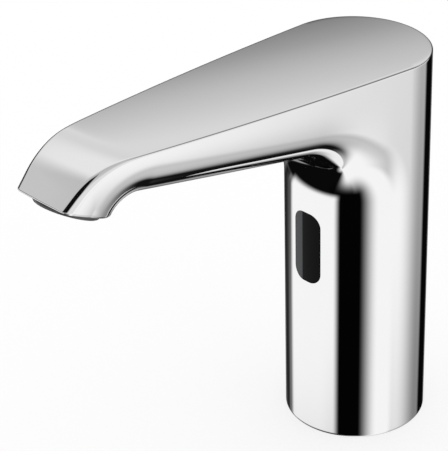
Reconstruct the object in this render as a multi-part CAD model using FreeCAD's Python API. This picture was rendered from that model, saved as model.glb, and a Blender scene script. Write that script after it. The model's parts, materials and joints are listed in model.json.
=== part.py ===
import FreeCAD, Part
import math
import os
from FreeCAD import Vector

# Electronic basin tap, millimetres. Column axis is Z, the deck is z = 0 and the spout points along -Y.
# "Forward" is the distance in front of the column axis, so forward = -y.

# ---- casting: outside ----
column_radius = 24.0
column_height = 137.1          # top face on the column axis
top_rise_angle = 3.75          # the top climbs towards the nose
wall = 3.0
foot_bevel = 0.6
blank_allowance = 55.0         # how far the blank stands over the top before it is cut
sew_tolerance = 0.02

side_angle = 2.4               # where the straight-looking flanks leave the column circle
side_bow_radius = 1240.0       # the flanks are very long arcs
nose_start = 112.0             # forward distance where the top face starts to roll over
nose_radius = 24.0
nose_slope = 43.0
nose_crown_radius = 108.0      # plan radius of the crowned nose at the lip
lip_forward = 134.3
lip_height = 134.0
outlet_angle = 26.0            # tilt of the outlet face

throat_height = 92.0           # where the column starts to sweep into the underside
throat_radius = 22.5
underside_angle = 11.6
underside_length = 62.8
neck_radius = 7.5              # concave turn from the underside down to the nozzle
nozzle_drop_angle = 56.0       # how steeply the nozzle's back falls
nozzle_length = 24.0
belly_depth = 13.0             # how far the underside's rounding climbs the flanks
nozzle_depth = 15.0
belly_fullness = 0.35          # 0 is an ellipse, more is squarer
trim_length = 40.0             # how far back from the lip the outlet face trims the nozzle

# ---- casting: inside ----
bulkhead_forward = 99.0        # the nozzle is solid in front of this
waterway_radius = 2.6
running_clearance = 0.05
seal_clearance = 0.02
gap = 0.3                      # air between pieces that don't touch
overcut = 1.0                  # how far a cutting shape runs past what it cuts
screw_clearance = 0.1          # radial, in a through hole
drill_allowance = 0.5          # how far a blind hole runs past its screw

# ---- aerator ----
aerator_centre_back = 12.0     # from the lip, along the outlet face
aerator_flange_radius = 10.2
aerator_flange_height = 1.5
aerator_thread_radius = 7.6
aerator_thread_length = 4.6
aerator_bore_radius = 6.5
aerator_washer_height = 1.0
aerator_insert_height = 2.2
aerator_screen_height = 0.5
flow_regulator_height = 1.5
aerator_ledge = 1.0            # inward lip that holds the insert
aerator_key_slots = 4
aerator_key_width = 2.0
aerator_jets = 8
aerator_jet_circle = 4.0
aerator_jet_radius = 0.9
screen_pitch = 2.0
screen_hole = 1.3
screen_rim = 1.6
flow_inlet_radius = 3.2
flow_orifice_radius = 1.6
aerator_washer_width = 2.3

# ---- sensor ----
window_centre_height = 71.5
window_width = 11.4
window_height = 26.2
window_corner_radius = 4.4
window_recess = 0.15
window_flange = 1.6
window_flange_thickness = 1.5
gasket_thickness = 0.6
sensor_half_width = 8.6
sensor_height = 40.0
sensor_depth = 8.85            # from the front of the sensor case to its back, on the centre line
sensor_wall = 1.2
sensor_face = 2.4              # thickness of the case's curved front
board_thickness = 1.6
board_recess = 5.85            # from the front of the case to the face that carries the two eyes
chip_width = 5.2
chip_height = 1.0
eye_spacing = 14.0
eye_gap = 1.6                  # from an eye's tip to the window
eye_dome = 0.5                 # rise of an eye's tip as a share of its radius
emitter_radius = 2.5
receiver_radius = 3.1
sensor_cover_thickness = 1.2
bracket_thickness = 1.2
bracket_height = 13.0
sensor_screw_spacing = 26.8
sensor_screw_radius = 1.5
sensor_screw_head_radius = 2.75
sensor_screw_head_height = 1.8
sensor_screw_depth = 6.0
lug_half_width = 3.2
lug_height = 11.0

# ---- base ----
seal_thickness = 1.4
base_seal_width = 3.5
insert_thickness = 14.6
insert_clearance = 0.1
stud_x = -1.0
stud_y = -7.0
stud_hole_radius = 3.4
stud_hole_depth = 12.0
inlet_thread_radius = 4.5
inlet_thread_length = 8.0
socket_radius = 6.0
cable_wall = 7.25              # from the cable hole's centre to the insert's edge
cable_direction = 188.4
cable_hole_radius = 3.1
grommet_lip = 1.0
base_screw_wall = 4.86         # from a screw's centre to the insert's edge
base_screw_direction = 50.06   # each side of straight forward is 90 less this
base_screw_radius = 2.0
base_screw_key_radius = 1.6
base_screw_head_radius = 3.6
base_screw_head_height = 3.6
base_lug_radius = 3.7
base_lug_height = 8.0
base_screw_bite = 6.5

# ---- valve ----
valve_wall = 0.47              # from the valve's round body to the column's bore
valve_direction = 62.65
valve_radius = 14.0
valve_floor = 8.0
valve_chamber_radius = 9.2
valve_housing_height = 18.0
seat_outer_radius = 4.4
seat_bore_radius = 3.2
seat_drop = 1.0                # the seat's rim lies this far under the diaphragm's clamped face
inlet_angle = 0.0
inlet_offset = 6.8
inlet_neck_radius = 2.2
spigot_length = 6.0
spigot_bore_radius = 3.8
o_ring_radius = 0.65
outlet_direction = 170.0
outlet_offset = 15.4
outlet_bar_half_width = 4.6
socket_outer_radius = 5.6
tube_radius = 3.5
tube_bore_radius = 2.5
tube_socket_depth = 9.0
tube_seal_radius = 0.55
tube_groove_width = 1.3
tube_groove_depth = 2.5        # from a socket's mouth to its groove
tube_groove_start = 2.0        # the same in the nozzle's socket
tube_nozzle_depth = 6.0        # how far the pipe enters the nozzle
tube_straight = 55.0           # straight stretch along the spout before the nozzle
tube_knee_height = 119.0
tube_knee_radius = 20.0
tube_elbow_radius = 30.0
valve_screw_circle = 12.2
valve_screw_radius = 1.2
valve_screw_head_radius = 2.1
valve_screw_head_height = 1.6
valve_screw_bite = 6.0
valve_screw_angles = (40.0, 140.0, 220.0, 320.0)
valve_screw_tip = 0.2          # shank left inside the head

diaphragm_radius = 10.8
diaphragm_rim = 1.2
diaphragm_web = 0.7
diaphragm_pad_radius = 5.6
core_plate_radius = 5.2
core_plate_height = 1.2
core_hub_radius = 2.0
core_guide_radius = 3.1
core_guide_length = 4.0
core_hub_drop = 0.6            # the guide starts this far under the seat's rim
core_rib_width = 0.8
rolled_edge = 0.3              # how far the web's upper corners stand off the lower ones
pilot_radius = 0.4
pilot_boss_radius = 1.3
pilot_boss_height = 0.7
cover_height = 7.8
cover_chamber_height = 4.2
guide_flange_radius = 6.5
guide_flange_height = 1.0

guide_inner_radius = 4.0
guide_wall = 0.6
plunger_stroke = 2.0
plunger_length = 17.0
plunger_clearance = 0.06
plunger_slot_width = 0.8
plunger_tip_gap = 1.1          # bare height of the rubber tip under the plunger
plunger_seal_radius = 1.6
plunger_seal_bury = 1.5
spring_pocket_radius = 2.3
spring_pocket_depth = 8.0
spring_wire_radius = 0.25
spring_coil_radius = 1.75
spring_turns = 7
pole_length = 8.5
pole_bury = 6.9

frame_thickness = 1.5
frame_half_width = 6.0
frame_leg_offset = 10.0
bobbin_height = 18.0
bobbin_wall = 1.0
bobbin_flange_radius = 9.2
bobbin_flange_height = 1.5
winding_radius = 8.6
coil_nut_radius = 6.8
coil_nut_height = 2.6
terminal_block_depth = 3.6
terminal_block_height = 6.0
terminal_block_half_width = 3.4
filter_flange_height = 0.6
filter_radius = 3.4
filter_height = 4.8
filter_wall = 0.5
filter_slots = 6
filter_slot_width = 0.7

# ---- leads ----
sensor_lead_radius = 1.3
valve_lead_radius = 1.0
sensor_lead_x = -5.0
sensor_lead_offset = 1.2       # in front of the board's face
sensor_lead_drop = 15.0        # straight run under the sensor case
sensor_lead_rise = 17.0        # straight run over the base insert
valve_lead_x = 5.0
valve_lead_offset = 2.0
valve_lead_top = 106.0
bend_share = 0.45              # share of the shorter run that each end of a bend takes

# ---- worked out from the sizes above ----
bore_radius = column_radius - wall
insert_top = seal_thickness + insert_thickness
insert_radius = bore_radius - insert_clearance
cable_x = (insert_radius - cable_wall) * math.cos(math.radians(cable_direction))
cable_y = (insert_radius - cable_wall) * math.sin(math.radians(cable_direction))
base_screw_x = (insert_radius - base_screw_wall) * math.cos(math.radians(base_screw_direction))
base_screw_y = -(insert_radius - base_screw_wall) * math.sin(math.radians(base_screw_direction))
valve_x = (bore_radius - valve_radius - valve_wall) * math.cos(math.radians(valve_direction))
valve_y = (bore_radius - valve_radius - valve_wall) * math.sin(math.radians(valve_direction))
blank_top = column_height + blank_allowance
inlet_x = valve_x + inlet_offset * math.cos(math.radians(inlet_angle))
inlet_y = valve_y + inlet_offset * math.sin(math.radians(inlet_angle))
outlet_x = valve_x + outlet_offset * math.cos(math.radians(outlet_direction))
outlet_y = valve_y + outlet_offset * math.sin(math.radians(outlet_direction))
socket_floor = seal_thickness + inlet_thread_length
housing_top = insert_top + valve_housing_height
chamber_floor = insert_top + valve_floor
seat_top = housing_top - seat_drop
cover_bottom = housing_top + diaphragm_rim
cover_top = cover_bottom + cover_height
tube_bottom = housing_top - tube_socket_depth
pad_top = cover_bottom + seal_clearance
core_top = pad_top + seal_clearance + core_plate_height + pilot_boss_height
plunger_bottom = core_top + seal_clearance + plunger_tip_gap
plunger_top = plunger_bottom + plunger_length
pole_bottom = plunger_top + plunger_stroke + seal_clearance
guide_bottom = cover_bottom + cover_chamber_height
guide_top = pole_bottom + pole_bury
guide_bore = guide_inner_radius + guide_wall + running_clearance
coil_bottom = cover_top + frame_thickness
coil_top = coil_bottom + bobbin_height
frame_top = coil_top + frame_thickness
sensor_bottom = window_centre_height - sensor_height / 2
sensor_top = window_centre_height + sensor_height / 2
flange_outer_radius = bore_radius - gasket_thickness
flange_inner_radius = flange_outer_radius - window_flange_thickness
sensor_front_radius = flange_inner_radius - running_clearance
sensor_back = sensor_front_radius - sensor_depth
board_forward = sensor_front_radius - board_recess
sensor_lead_forward = board_forward + sensor_lead_offset
valve_lead_forward = board_forward + valve_lead_offset
tube_seal_groove = tube_radius + 2 * tube_seal_radius + seal_clearance
housing_groove = housing_top - tube_groove_depth - tube_groove_width
pocket_depth = aerator_thread_length + aerator_washer_height + running_clearance

outlet_in = Vector(0, math.sin(math.radians(outlet_angle)), math.cos(math.radians(outlet_angle)))
outlet_back = Vector(0, math.cos(math.radians(outlet_angle)), -math.sin(math.radians(outlet_angle)))
aerator_mouth = Vector(0, -lip_forward, lip_height) + outlet_back * aerator_centre_back


# ---------------------------------------------------------------- small helpers

def rod(radius, bottom, top, x=0.0, y=0.0):
    return Part.makeCylinder(radius, top - bottom, Vector(x, y, bottom))


def ring(outer, inner, bottom, top, x=0.0, y=0.0):
    return rod(outer, bottom, top, x, y).cut(rod(inner, bottom - overcut, top + overcut, x, y))


def block(x0, x1, y0, y1, z0, z1):
    return Part.makeBox(x1 - x0, y1 - y0, z1 - z0, Vector(x0, y0, z0))


def upright_edges(shape, direction):
    """Straight edges of a shape that run along a direction."""
    return [edge for edge in shape.Edges
            if edge.Curve.TypeId == "Part::GeomLine" and edge.Curve.Direction.cross(direction).Length < 1e-6]


def turned(outline, x=0.0, y=0.0):
    """Solid of revolution about a vertical axis; outline is (radius, height) points."""
    points = [Vector(radius, 0, height) for radius, height in outline]
    face = Part.Face(Part.makePolygon(points + points[:1]))
    solid = face.revolve(Vector(), Vector(0, 0, 1), 360)
    solid.translate(Vector(x, y, 0))
    return solid


def seal_ring(radius, section, height, x=0.0, y=0.0):
    return Part.makeTorus(radius, section, Vector(x, y, height), Vector(0, 0, 1))


def bent_tube(points, radius, bends):
    """Solid rod along straight runs joined by tangent arcs, one bend radius per inner point."""
    edges = []
    start = points[0]
    for before, corner, after, bend in zip(points, points[1:], points[2:], bends):
        into = (corner - before).normalize()
        out = (after - corner).normalize()
        turn = into.getAngle(out)
        reach = bend * math.tan(turn / 2)
        arc_start = corner - into * reach
        arc_end = corner + out * reach
        middle = (out - into).normalize()
        arc_middle = corner + middle * (bend / math.cos(turn / 2) - bend)
        edges.append(Part.LineSegment(start, arc_start).toShape())
        edges.append(Part.Arc(arc_start, arc_middle, arc_end).toShape())
        start = arc_end
    edges.append(Part.LineSegment(start, points[-1]).toShape())
    path = Part.Wire(edges)
    section = Part.Wire(Part.makeCircle(radius, points[0], (points[1] - points[0]).normalize()))
    return path.makePipeShell([section], True, False)


# ---------------------------------------------------------------- casting

def half_width(forward):
    """Half the plan width at a distance in front of the column axis: circle, then a long arc."""
    angle = math.radians(side_angle)
    if forward <= column_radius * math.sin(angle):
        return math.sqrt(column_radius ** 2 - forward ** 2)
    centre_x = (column_radius - side_bow_radius) * math.cos(angle)
    centre_forward = (column_radius - side_bow_radius) * math.sin(angle)
    return centre_x + math.sqrt(side_bow_radius ** 2 - (forward - centre_forward) ** 2)


def ease(share):
    share = min(1.0, max(0.0, share))
    return share * share * (3 - 2 * share)


def underside_stations():
    """Stations along the keel: (forward, height, heading, stage).

    heading is 0 where the keel runs up the column and a right angle where it runs forward;
    stage counts throat, underside, neck and nozzle from 0 to 4.
    """
    rise = math.radians(underside_angle)
    drop = math.radians(nozzle_drop_angle)
    stations = []
    steps = 14
    for i in range(steps + 1):
        heading = (math.pi / 2 - rise) * i / steps
        forward = column_radius + throat_radius * (1 - math.cos(heading))
        height = throat_height + throat_radius * math.sin(heading)
        stations.append((forward, height, heading, i / steps))
    keel_forward, keel_height, heading, stage = stations[-1]
    steps = 5
    for i in range(1, steps + 1):
        run = underside_length * i / steps
        stations.append((keel_forward + run * math.cos(rise), keel_height + run * math.sin(rise),
                         heading, 1 + i / steps))
    centre_forward = stations[-1][0] + neck_radius * math.sin(rise)
    centre_height = stations[-1][1] - neck_radius * math.cos(rise)
    steps = 8
    for i in range(1, steps + 1):
        slope = rise - (rise + drop) * i / steps
        stations.append((centre_forward - neck_radius * math.sin(slope),
                         centre_height + neck_radius * math.cos(slope),
                         math.pi / 2 - slope, 2 + i / steps))
    neck_forward, neck_height, heading, stage = stations[-1]
    steps = 3
    for i in range(1, steps + 1):
        run = nozzle_length * i / steps
        stations.append((neck_forward + run * math.cos(drop), neck_height - run * math.sin(drop),
                         heading, 3 + i / steps))
    return stations


def cross_section(station, inset, columns=25):
    """Points of the belly across one station, from the left flank under the keel to the right flank."""
    forward, height, heading, stage = station
    belly = ease(stage)
    nozzle = ease(stage - 2)
    depth = column_radius - inset
    depth += (belly_depth - column_radius) * belly + (nozzle_depth - belly_depth) * nozzle
    power = 2.0 + belly_fullness * belly
    flank_forward = forward - (inset + depth) * math.cos(heading)
    flank_width = half_width(max(0.0, flank_forward)) - inset
    follow = ease(3 * stage)
    points = []
    for column in range(columns):
        angle = math.pi * (column / (columns - 1) - 0.5)
        across = abs(math.sin(angle))
        down = max(0.0, math.cos(angle))
        size = (across ** power + down ** power) ** (1 / power)
        across = across / size
        climb = inset + depth * (1 - down / size)
        at = forward - climb * math.cos(heading)
        local_width = half_width(max(0.0, at)) - inset
        x = across * flank_width + (local_width - flank_width) * follow * across ** 6
        points.append(Vector(math.copysign(x, angle), -at, height + climb * math.sin(heading)))
    return points


def at_height(curve, height):
    """Copy of a curve flattened onto a level."""
    copy = curve.copy()
    for index, pole in enumerate(curve.getPoles(), 1):
        copy.setPole(index, Vector(pole.x, pole.y, height))
    return copy


def hull(inset, bottom):
    """Closed column-and-spout form, moved inwards by inset and left tall for the top to be cut."""
    top = blank_top
    radius = column_radius - inset
    belly = Part.BSplineSurface()
    belly.interpolate([cross_section(station, inset) for station in underside_stations()])
    first_u, last_u, first_v, last_v = belly.bounds()
    left = belly.vIso(first_v)
    right = belly.vIso(last_v)
    root = belly.uIso(first_u)
    tip = belly.uIso(last_u)
    left_top = at_height(left, top)
    right_top = at_height(right, top)
    foot = at_height(root, bottom)

    def line(a, b):
        return Part.makeLine(a, b)

    left_tip, right_tip = left.EndPoint, right.EndPoint
    above_left, above_right = at_height(tip, top).StartPoint, at_height(tip, top).EndPoint
    back_left, back_right = Vector(-radius, 0, top), Vector(radius, 0, top)
    faces = [belly.toShape()]
    for low, high in ((left, left_top), (right, right_top), (foot, root)):
        faces.append(Part.makeRuledSurface(low.toShape(), high.toShape()))
    for low, high in ((bottom, throat_height), (throat_height, top)):
        rear = Part.makeCylinder(radius, high - low, Vector(0, 0, low), Vector(0, 0, 1), 180)
        faces.append(rear.Faces[0])
    for level in (bottom, top):
        arc = Part.makeCircle(radius, Vector(0, 0, level), Vector(0, 0, 1), 0, 180)
        faces.append(Part.Face(Part.Wire([arc, line(arc.Vertexes[0].Point, arc.Vertexes[-1].Point)])))
    for curve in (foot, tip):
        faces.append(Part.Face(Part.Wire([curve.toShape(), line(curve.EndPoint, curve.StartPoint)])))
    faces.append(Part.Face(Part.makePolygon([left_tip, right_tip, above_right, above_left, left_tip])))
    roof = [left_top.toShape(), right_top.toShape(), line(back_left, back_right), line(above_left, above_right)]
    faces.append(Part.Face(Part.Wire(Part.__sortEdges__(roof))))
    shell = Part.makeShell(faces)
    shell.sewShape(sew_tolerance)
    return Part.Solid(shell)


def cap(inset):
    """Everything under the top face: a flat top that rolls over a crowned nose, turned about a leaning axis."""
    rise = math.radians(top_rise_angle)
    turn = math.radians(top_rise_angle + nose_slope)
    flat_radius = nose_crown_radius - nose_radius * math.sin(turn)
    roll = nose_radius - inset
    skirt = 2 * nose_crown_radius - flat_radius
    arc_end = Vector(flat_radius + roll * math.sin(turn), 0, -inset - roll * (1 - math.cos(turn)))
    arc_middle = Vector(flat_radius + roll * math.sin(turn / 2), 0, -inset - roll * (1 - math.cos(turn / 2)))
    skirt_end = arc_end + Vector(skirt * math.cos(turn), 0, -skirt * math.sin(turn))
    top_centre = Vector(0, 0, -inset)
    bottom_centre = Vector(0, 0, -2 * column_height)
    arc_start = Vector(flat_radius, 0, -inset)
    bottom_edge = Vector(skirt_end.x, 0, bottom_centre.z)
    edges = [Part.makeLine(top_centre, arc_start),
             Part.Arc(arc_start, arc_middle, arc_end).toShape(),
             Part.makeLine(arc_end, skirt_end),
             Part.makeLine(skirt_end, bottom_edge),
             Part.makeLine(bottom_edge, bottom_centre),
             Part.makeLine(bottom_centre, top_centre)]
    solid = Part.Face(Part.Wire(edges)).revolve(Vector(), Vector(0, 0, 1), 360)
    solid.rotate(Vector(), Vector(1, 0, 0), -top_rise_angle)
    axis_forward = nose_start - flat_radius * math.cos(rise)
    axis_height = column_height + axis_forward * math.tan(rise)
    solid.translate(Vector(0, -axis_forward, axis_height))
    return solid


def below_outlet():
    """Slab under the tilted outlet face, which trims the nozzle to its rim."""
    slab = block(-2 * column_radius, 2 * column_radius, -trim_length, trim_length, -2 * nozzle_length, 0)
    slab.rotate(Vector(), Vector(1, 0, 0), -outlet_angle)
    slab.translate(Vector(0, -lip_forward, lip_height))
    return slab


def window_prism(margin, deepest, reach):
    """Upright rounded bar through the column's front, grown by margin on every side."""
    half = window_width / 2 + margin
    tall = window_height / 2 + margin
    corner = window_corner_radius + margin
    bar = block(-half, half, -reach, -deepest, window_centre_height - tall, window_centre_height + tall)
    return bar.makeFillet(corner, upright_edges(bar, Vector(0, 1, 0)))


def aerator_rod(radius, start, end):
    """Round bar on the aerator's axis, between two distances inwards from the outlet face."""
    return Part.makeCylinder(radius, end - start, aerator_mouth + outlet_in * start, outlet_in)


def lug_holes():
    """Blind holes for the sensor screws and the base screws."""
    holes = []
    lug_back = sensor_back + running_clearance
    for side in (-1, 1):
        holes.append(Part.makeCylinder(sensor_screw_radius + running_clearance,
                                       sensor_screw_depth + drill_allowance,
                                       Vector(side * sensor_screw_spacing / 2, -lug_back, window_centre_height),
                                       Vector(0, -1, 0)))
        holes.append(rod(base_screw_radius + running_clearance, insert_top,
                         insert_top + base_screw_bite + drill_allowance,
                         side * base_screw_x, base_screw_y))
    return holes


def lugs():
    """Bosses cast on the inside of the column for the sensor bracket and for the base insert."""
    shell = rod(column_radius - wall / 2, seal_thickness, throat_height)
    bosses = []
    lug_back = sensor_back + running_clearance
    for side in (-1, 1):
        x = side * sensor_screw_spacing / 2
        bosses.append(block(x - lug_half_width, x + lug_half_width, -column_radius, -lug_back,
                            window_centre_height - lug_height / 2, window_centre_height + lug_height / 2))
        x = side * base_screw_x
        post = rod(base_lug_radius, insert_top, insert_top + base_lug_height, x, base_screw_y)
        web = block(x - base_lug_radius, x + base_lug_radius, -column_radius, base_screw_y,
                    insert_top, insert_top + base_lug_height)
        bosses.append(post.fuse(web))
    return [boss.common(shell) for boss in bosses]


def spout_axis():
    """Line of the waterway through the nozzle: a point on the bulkhead and its direction."""
    lean = math.radians(underside_angle)
    floor = throat_height + throat_radius + (bulkhead_forward - column_radius - throat_radius) * math.tan(lean)
    top = column_height + bulkhead_forward * math.tan(math.radians(top_rise_angle))
    direction = Vector(0, -math.cos(lean / 2), math.sin(lean / 2))
    return Vector(0, -bulkhead_forward, (floor + top) / 2), direction


def waterway():
    """Bore on from the pipe's socket, and the port that joins it to the middle of the aerator's pocket."""
    start, direction = spout_axis()
    port = (start - aerator_mouth).cross(direction).x / outlet_in.cross(direction).x
    meeting = aerator_mouth + outlet_in * port
    bore_start = start + direction * (tube_nozzle_depth - overcut)
    bore_length = (meeting - bore_start).Length + waterway_radius
    bore = Part.makeCylinder(waterway_radius, bore_length, bore_start, direction)
    return bore.fuse(aerator_rod(waterway_radius, pocket_depth - overcut, port))


def tap_body():
    outside = hull(0.0, 0.0).common(cap(0.0)).cut(below_outlet())
    inside = hull(wall, -overcut).common(cap(wall))
    inside = inside.cut(block(-column_radius, column_radius, -2 * lip_forward, -bulkhead_forward, 0, blank_top))
    body = outside.cut(inside).fuse(lugs())
    body = body.cut(window_prism(0.0, 0.0, 2 * column_radius))
    body = body.cut(aerator_rod(aerator_thread_radius + insert_clearance, -overcut, pocket_depth))
    start, direction = spout_axis()
    body = body.cut(Part.makeCylinder(tube_radius + running_clearance, tube_nozzle_depth + overcut,
                                      start - direction * overcut, direction))
    body = body.cut(Part.makeCylinder(tube_seal_groove, tube_groove_width,
                                      start + direction * tube_groove_start, direction))
    body = body.cut(waterway())
    body = body.cut(Part.makeCompound(lug_holes()))
    outer = column_radius + overcut
    rim = turned([(column_radius - foot_bevel, -overcut), (outer, -overcut), (outer, foot_bevel),
                  (column_radius, foot_bevel), (column_radius - foot_bevel, 0.0)])
    return body.cut(rim)


# ---------------------------------------------------------------- sensor

def front_shell(outer, inner):
    """Upright shell about the column axis, used to curve what sits behind the window."""
    return ring(outer, inner, sensor_bottom, sensor_top)


def sensor_window():
    lens = window_prism(-running_clearance, 0.0, 2 * column_radius)
    lens = lens.common(front_shell(column_radius - window_recess, flange_outer_radius - running_clearance))
    flange = window_prism(window_flange, 0.0, 2 * column_radius)
    return lens.fuse(flange.common(front_shell(flange_outer_radius, flange_inner_radius))).removeSplitter()


def window_gasket():
    band = window_prism(window_flange, 0.0, 2 * column_radius)
    band = band.cut(window_prism(0.0, -overcut, 3 * column_radius))
    return band.common(front_shell(bore_radius - seal_clearance, flange_outer_radius + seal_clearance))


def eye_heights():
    return (window_centre_height + eye_spacing / 2, window_centre_height - eye_spacing / 2)


def front_rod(radius, height, back, front, x=0.0):
    """Round bar along -Y between two forward distances."""
    return Part.makeCylinder(radius, front - back, Vector(x, -back, height), Vector(0, -1, 0))


def sensor_housing():
    """Open-backed tray, its front curved to the window, with a tunnel for each eye and two lead holes."""
    tray = block(-sensor_half_width, sensor_half_width, -column_radius, -sensor_back, sensor_bottom, sensor_top)
    inner = sensor_half_width - sensor_wall
    tray = tray.common(rod(sensor_front_radius, sensor_bottom, sensor_top))
    hollow = block(-inner, inner, -column_radius, -sensor_back + overcut,
                   sensor_bottom + sensor_wall, sensor_top - sensor_wall)
    hollow = hollow.common(rod(sensor_front_radius - sensor_face, sensor_bottom, sensor_top))
    tray = tray.cut(hollow)
    for height, radius in zip(eye_heights(), (emitter_radius, receiver_radius)):
        tunnel = front_rod(radius + sensor_wall + running_clearance, height, board_forward + gap, column_radius)
        tray = tray.fuse(tunnel.common(rod(sensor_front_radius, sensor_bottom, sensor_top)))
    for height, radius in zip(eye_heights(), (emitter_radius, receiver_radius)):
        tray = tray.cut(front_rod(radius + running_clearance, height, sensor_back, column_radius))
    tray = tray.cut(rod(sensor_lead_radius + running_clearance, sensor_bottom - overcut,
                        sensor_bottom + sensor_wall + gap, sensor_lead_x, -sensor_lead_forward))
    return tray.cut(rod(valve_lead_radius + running_clearance, sensor_top - sensor_wall - gap, sensor_top + overcut,
                        valve_lead_x, -valve_lead_forward))


def sensor_cover():
    inner = sensor_half_width - sensor_wall - running_clearance
    return block(-inner, inner, -sensor_back - sensor_cover_thickness, -sensor_back,
                 sensor_bottom + sensor_wall + running_clearance, sensor_top - sensor_wall - running_clearance)


def sensor_board():
    inner = sensor_half_width - sensor_wall - 2 * running_clearance
    board = block(-inner, inner, -board_forward, -board_forward + board_thickness,
                  sensor_bottom + sensor_wall + gap, sensor_top - sensor_wall - gap)
    chip_half = chip_width / 2
    chip = block(-chip_half, chip_half, -board_forward - chip_height, -board_forward,
                 window_centre_height - chip_half, window_centre_height + chip_half)
    notch = rod(sensor_lead_radius + gap, sensor_bottom, sensor_bottom + 3 * sensor_wall,
                sensor_lead_x, -sensor_lead_forward)
    return board.fuse(chip).removeSplitter().cut(notch)


def eye(radius, height):
    """Domed infrared diode or detector standing on the board."""
    reach = flange_inner_radius - board_forward - eye_gap - radius * eye_dome
    body = front_rod(radius, height, board_forward, board_forward + reach)
    dome = Part.makeSphere(radius, Vector(0, -board_forward - reach, height))
    squash = FreeCAD.Matrix()
    squash.scale(Vector(1, eye_dome, 1))
    dome.translate(Vector(0, board_forward + reach, 0))
    dome = dome.transformGeometry(squash)
    dome.translate(Vector(0, -board_forward - reach, 0))
    return body.fuse(dome)


def sensor_bracket():
    """Sprung strap across the back of the sensor case, screwed to the two cast lugs."""
    half = sensor_screw_spacing / 2 + lug_half_width
    strap = block(-half, half, -sensor_back + running_clearance, -sensor_back + running_clearance + bracket_thickness,
                  window_centre_height - bracket_height / 2, window_centre_height + bracket_height / 2)
    strap = strap.makeFillet(lug_half_width - running_clearance, upright_edges(strap, Vector(0, 1, 0)))
    for side in (-1, 1):
        strap = strap.cut(front_rod(sensor_screw_radius + screw_clearance, window_centre_height, 0, column_radius,
                                    side * sensor_screw_spacing / 2))
    return strap


def sensor_screws():
    screws = []
    head_front = sensor_back - running_clearance - bracket_thickness
    for side in (-1, 1):
        x = side * sensor_screw_spacing / 2
        shank = front_rod(sensor_screw_radius, window_centre_height, head_front,
                          sensor_back + sensor_screw_depth, x)
        head = front_rod(sensor_screw_head_radius, window_centre_height, head_front - sensor_screw_head_height,
                         head_front, x)
        slot = front_rod(sensor_screw_radius / 2, window_centre_height,
                         head_front - sensor_screw_head_height - overcut,
                         head_front - sensor_screw_head_height / 2, x)
        screws.append(shank.fuse(head).cut(slot))
    return Part.makeCompound(screws)


# ---------------------------------------------------------------- base

def base_seal():
    outer = insert_radius - gap
    return ring(outer, outer - base_seal_width, 0.0, seal_thickness)


def base_insert():
    """Thick turned plug that closes the column: stud thread, water inlet and socket, cable hole, screw seats."""
    plug = rod(insert_radius, seal_thickness, insert_top)
    cuts = [rod(stud_hole_radius, 0, seal_thickness + stud_hole_depth, stud_x, stud_y),
            rod(inlet_thread_radius, 0, socket_floor + overcut, inlet_x, inlet_y),
            rod(socket_radius, socket_floor, insert_top + overcut, inlet_x, inlet_y),
            rod(cable_hole_radius, 0, insert_top + overcut, cable_x, cable_y)]
    for side in (-1, 1):
        x = side * base_screw_x
        cuts.append(rod(base_screw_radius + screw_clearance, 0, insert_top + overcut, x, base_screw_y))
        cuts.append(rod(base_screw_head_radius + screw_clearance, 0, seal_thickness + base_screw_head_height,
                        x, base_screw_y))
    for x, y in valve_screw_places():
        cuts.append(rod(valve_screw_radius + running_clearance, insert_top - valve_screw_bite - drill_allowance,
                        insert_top + overcut, x, y))
    return plug.cut(cuts)


def insert_screws():
    screws = []
    head_top = seal_thickness + base_screw_head_height
    for side in (-1, 1):
        x = side * base_screw_x
        shank = rod(base_screw_radius, head_top - gap, insert_top + base_screw_bite, x, base_screw_y)
        head = rod(base_screw_head_radius, seal_thickness + gap, head_top, x, base_screw_y)
        key = rod(base_screw_key_radius, 0, seal_thickness + base_screw_head_height / 2, x, base_screw_y)
        screws.append(shank.fuse(head).cut(key))
    return Part.makeCompound(screws)


def cable_grommet():
    sleeve = rod(cable_hole_radius - running_clearance, seal_thickness, insert_top + grommet_lip, cable_x, cable_y)
    lip = rod(cable_hole_radius + grommet_lip, insert_top, insert_top + grommet_lip, cable_x, cable_y)
    bore = rod(sensor_lead_radius + running_clearance, 0, insert_top + 2 * grommet_lip, cable_x, cable_y)
    return sleeve.fuse(lip).cut(bore)


# ---------------------------------------------------------------- valve

def valve_screw_places():
    for angle in valve_screw_angles:
        turn = math.radians(angle)
        yield valve_x + valve_screw_circle * math.cos(turn), valve_y + valve_screw_circle * math.sin(turn)


def screw_holes(bottom, top):
    return [rod(valve_screw_radius + screw_clearance, bottom, top, x, y) for x, y in valve_screw_places()]


def outlet_bar(half_across, bottom, top):
    """Bar from the valve's axis to its outlet, round at the outlet."""
    bar = block(0, outlet_offset, -half_across, half_across, bottom, top)
    bar.rotate(Vector(), Vector(0, 0, 1), outlet_direction)
    bar.translate(Vector(valve_x, valve_y, 0))
    return bar


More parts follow.
